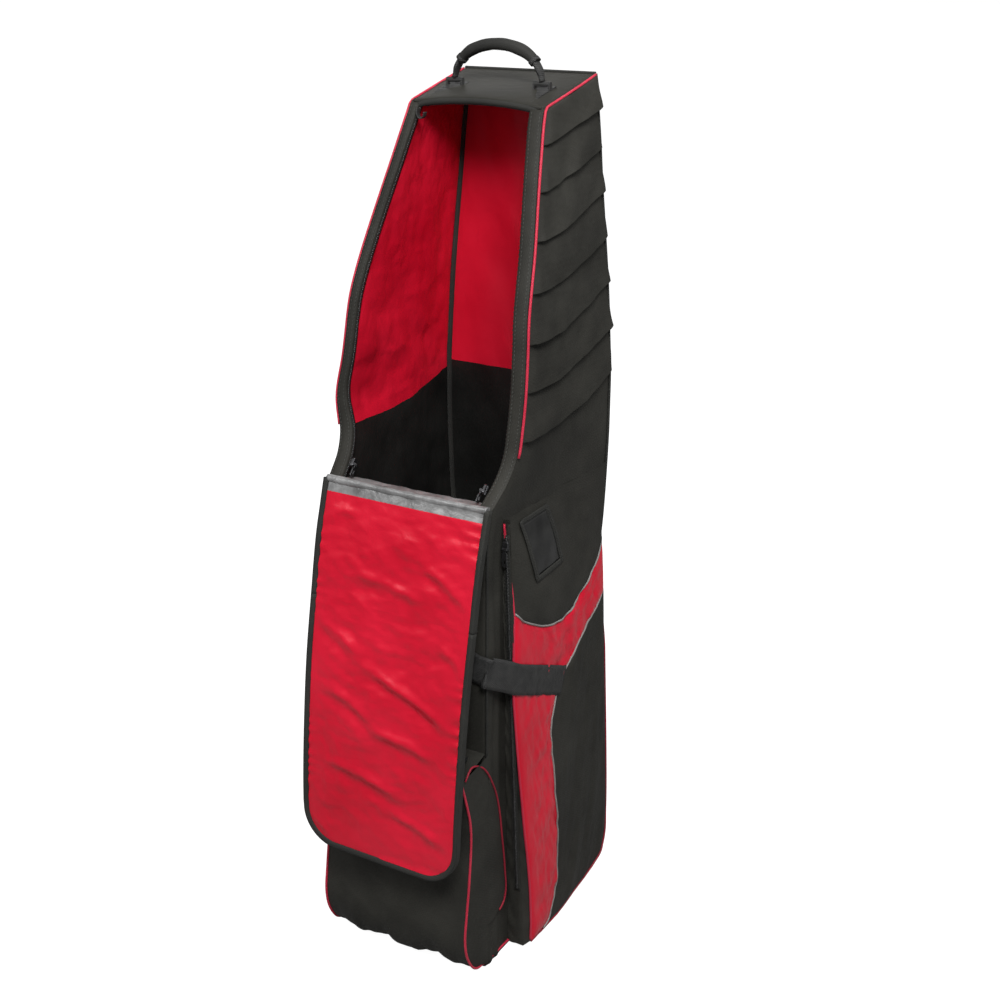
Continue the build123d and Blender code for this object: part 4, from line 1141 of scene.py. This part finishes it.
strap_width = 46
for side, word in both_sides:
    seed = pouch_seeds[word]
    t = np.linspace(0, 1, 34)
    side_yz = places(12 - t * 140, 414 + t * 60.5)
    over_pouch = pouch_line(side_yz, seed, 2.0)
    corner_x = [(0, over_pouch[-1, 0]), (0.5, 145.5), (0.9, 136.0), (1, 134.2)]
    b = np.linspace(0.08, 1, 12)
    bridge = places(smooth_line(corner_x, b), -128 - 50.5 * b + 2.0 * np.sin(b * math.pi), 474.5 + 27 * b)
    turn = np.linspace(0.2, 1, 6) * math.pi / 2
    corner = places(131.0 + 3.2 * np.cos(turn), -178.6 - 3.2 * np.sin(turn), 501.5 + 1.5 * turn)
    front_x = np.linspace(128, 37.4, 26)
    front = places(front_x, -181.7, 517 - 13.5 * ease(70, 131, front_x))
    path = np.concatenate([over_pouch, bridge, corner, front])
    width_dir = np.tile((0, 0, 1.0), (len(path), 1))
    width_dir[:34] = (0, 0.4, 1)
    width_dir[34:46] = (0.08, 0.42, 0.9)
    web = ribbon(mirror_points(path, side), mirror_points(width_dir, side), strap_width)
    loop_turn = np.linspace(-0.5, 0.5, 14) * math.pi
    loop_path = places(38.4 - 1.8 * np.cos(loop_turn), -186.9 + 4.6 * np.sin(loop_turn), 517.0)
    tail = places(np.linspace(38.6, 62, 9), np.linspace(-182.6, -183.2, 9), 517.0)
    parts = [(*web, 0)] + [(*ribbon(mirror_points(path, side), (0, 0, 1), strap_width), 0)
                           for path in (loop_path, tail)]
    stitched = np.array([(42, -184.5, 497), (58, -184.5, 497), (58, -184.5, 537), (42, -184.5, 537),
                         (42, -184.5, 497), (58, -184.5, 537)], float)
    for a, b in zip(stitched[:-1], stitched[1:]):
        parts.append((*stitch_row(mirror_points(np.linspace(a, b, 8), side), (0, -1, 0), thick=0.5), 1))
    strap = new_piece(f"strap_webbing_{word}", parts, [webbing, stitch_thread], "case")
    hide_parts(f"strap_{word}")

# ---------------------------------------------------------------------------
# Moulded and metal parts: buckle, base tray, wheels in their housings, zip
# sliders and pulls. They keep their own shapes and get their real finishes.
# ---------------------------------------------------------------------------


def moulded(name, dark, light, rough, grain=900.0, grain_depth=0.12, metal=0.0):
    """Plastic, rubber or metal with fine grain and slight wear."""
    material, add, place, shader, links = new_finish(name)
    patch = add("ShaderNodeTexNoise", {"Vector": place, "Scale": 18.0, "Detail": 5.0, "Roughness": 0.65})
    links.new(ramp(add, patch.outputs["Fac"], dark, light), shader.inputs["Base Color"])
    wear = add("ShaderNodeMapRange",
               {"Value": patch.outputs["Fac"], "To Min": rough - 0.08, "To Max": rough + 0.1})
    links.new(wear.outputs["Result"], shader.inputs["Roughness"])
    fine = add("ShaderNodeTexNoise", {"Vector": place, "Scale": grain, "Detail": 2.0, "Distortion": 0.0})
    bump = add("ShaderNodeBump", {"Height": fine.outputs["Fac"], "Strength": grain_depth, "Distance": 0.0004})
    links.new(bump.outputs["Normal"], shader.inputs["Normal"])
    shader.inputs["Metallic"].default_value = metal
    return material


finishes = {
    "tray_plastic": (moulded("tray_plastic", (0.010, 0.010, 0.010), (0.022, 0.022, 0.021), 0.55, 1100, 0.3),
                     ("base_tray", "wheel_housing_right", "wheel_housing_left", "housing_rim_right",
                      "housing_rim_left")),
    "buckle_plastic": (moulded("buckle_plastic", (0.012, 0.012, 0.012), (0.02, 0.02, 0.02), 0.36, 1500, 0.08),
                       ("buckle_socket", "buckle_tongue")),
    "fibre_board": (moulded("fibre_board", (0.03, 0.028, 0.026), (0.06, 0.057, 0.052), 0.8, 500, 0.4),
                    ("base_board",)),
    "tyre_rubber": (moulded("tyre_rubber", (0.010, 0.010, 0.011), (0.022, 0.022, 0.022), 0.62, 700, 0.25),
                    ("tyre_right", "tyre_left")),
    "hub_plastic": (moulded("hub_plastic", (0.06, 0.06, 0.062), (0.10, 0.10, 0.10), 0.42, 1300, 0.1),
                    ("hub_right", "hub_left")),
    "zinc_steel": (moulded("zinc_steel", (0.42, 0.42, 0.43), (0.60, 0.60, 0.62), 0.3, 900, 0.1, 1.0),
                   ("wheel_axles", "housing_screws")),
    "dark_zinc": (moulded("dark_zinc", (0.05, 0.05, 0.052), (0.11, 0.11, 0.115), 0.3, 1200, 0.06, 0.85),
                  ("front_slider", "front_pull", "side_slider_right", "side_slider_left", "side_pull_right",
                   "side_pull_left", "flap_slider_right", "flap_slider_left", "flap_pull_right",
                   "flap_pull_left")),
}
for finish, node_names in finishes.values():
    for node_name in node_names:
        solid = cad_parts[node_name]
        solid.data.materials.clear()
        solid.data.materials.append(finish)

# ---------------------------------------------------------------------------
# Top handle: black webbing rising from two stitched patches on the roof,
# its middle wrapped in a padded cloth grip. It tips on its two feet.
# ---------------------------------------------------------------------------
handle_half = np.array([(71, 68, 1289.8), (70.4, 68, 1293), (66, 68, 1306), (57, 68, 1318.5), (44, 68, 1328),
                        (28, 68, 1334.2), (12, 68, 1337.4), (0, 68, 1338)], float)
handle_line = resample(np.concatenate([handle_half, (handle_half * np.array([-1, 1, 1]))[::-1][1:]]), 3.0)
leg_width = 11 + 6.0 * ease(1295, 1306, handle_line[:, 2])
leg_rings = [flat_section(w, 5.5) for w in leg_width]
web_points, web_faces = sweep(handle_line, flat_section(1, 1), (0, 1, 0))
web_points = web_points.reshape(len(handle_line), 8, 3)
for i, ring in enumerate(leg_rings):
    tangent = np.gradient(handle_line, axis=0)[i]
    tangent = tangent / np.linalg.norm(tangent)
    over = np.cross(tangent, (0, 1, 0))
    web_points[i] = handle_line[i] + ring[:, :1] * np.array([0, 1, 0]) + ring[:, 1:] * over
handle_web = (web_points.reshape(-1, 3), web_faces)
grip_half = 60
grip_line = handle_line[np.abs(handle_line[:, 0]) <= grip_half]
grip_turn = np.linspace(0, 2 * math.pi, 26, endpoint=False)
grip_outline = places(10.4 * np.sign(np.cos(grip_turn)) * np.abs(np.cos(grip_turn)) ** 0.8,
                      8.2 * np.sign(np.sin(grip_turn)) * np.abs(np.sin(grip_turn)) ** 0.85)
end = grip_half - np.abs(grip_line[:, 0])
grip_size = 0.80 + 0.20 * ease(0, 22, end) + 0.018 * np.sin(grip_line[:, 0] / 4.2) * ease(6, 16, end)
grip = sweep(grip_line, grip_outline, (0, 1, 0), scale=grip_size)
grip_seam = stitch_row(grip_line[2:-2] + np.array([0, 0, -8.2]), (0, 0, -1), length=4.5, gap=2.5)
bands = []
for band_x in (1 - grip_half, grip_half - 1):
    near = handle_line[np.argmin(np.abs(handle_line[:, 0] - band_x))]
    lean = np.array([1, 0, -0.95 if band_x > 0 else 0.95]) / math.hypot(1, 0.95)
    band_line = [near - lean * 3, near, near + lean * 3]
    bands.append((*sweep(band_line, grip_outline * 0.93, (0, 1, 0)), 0))
handle = new_piece("handle_grip", [(*handle_web, 0), (*grip, 1), (*grip_seam, 2)] + bands,
                   [webbing, binding_tape, stitch_thread], "handle")
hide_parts("top_handle")
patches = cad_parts["handle_anchors"]
patches.data.materials.clear()
patches.data.materials.append(webbing)
patch_stitches = []
for sign in (1, -1):
    box_line = np.array([(60, 17), (82, 17), (82, 42), (60, 42), (60, 17), (82, 42)], float) * [sign, 1]
    for a, b in zip(box_line[:-1], box_line[1:]):
        ends = np.linspace(a, b, 8)
        lifted = places(ends[:, 0], ends[:, 1], 1264.3 + (ends[:, 1] - 8.3) * 0.3027)
        patch_stitches.append((*stitch_row(lifted, (0, -0.28, 0.96), thick=0.5), 0))
new_piece("handle_patch_stitching", patch_stitches, [stitch_thread], "case")

# ---------------------------------------------------------------------------
# Zip stop: a short loop of black webbing at the left top corner of the
# mouth, sewn over the end of the flap's zip.
# ---------------------------------------------------------------------------
loop_turn = np.linspace(0, math.pi * 1.15, 16)
stop_loop = places(-86 + 6 * np.cos(loop_turn), 1.5, 1247 - 9 * np.sin(loop_turn))
new_piece("zip_stop_loop", [(*ribbon(stop_loop, (0, 1, 0), 9, 1.4), 0)], [webbing], "case")
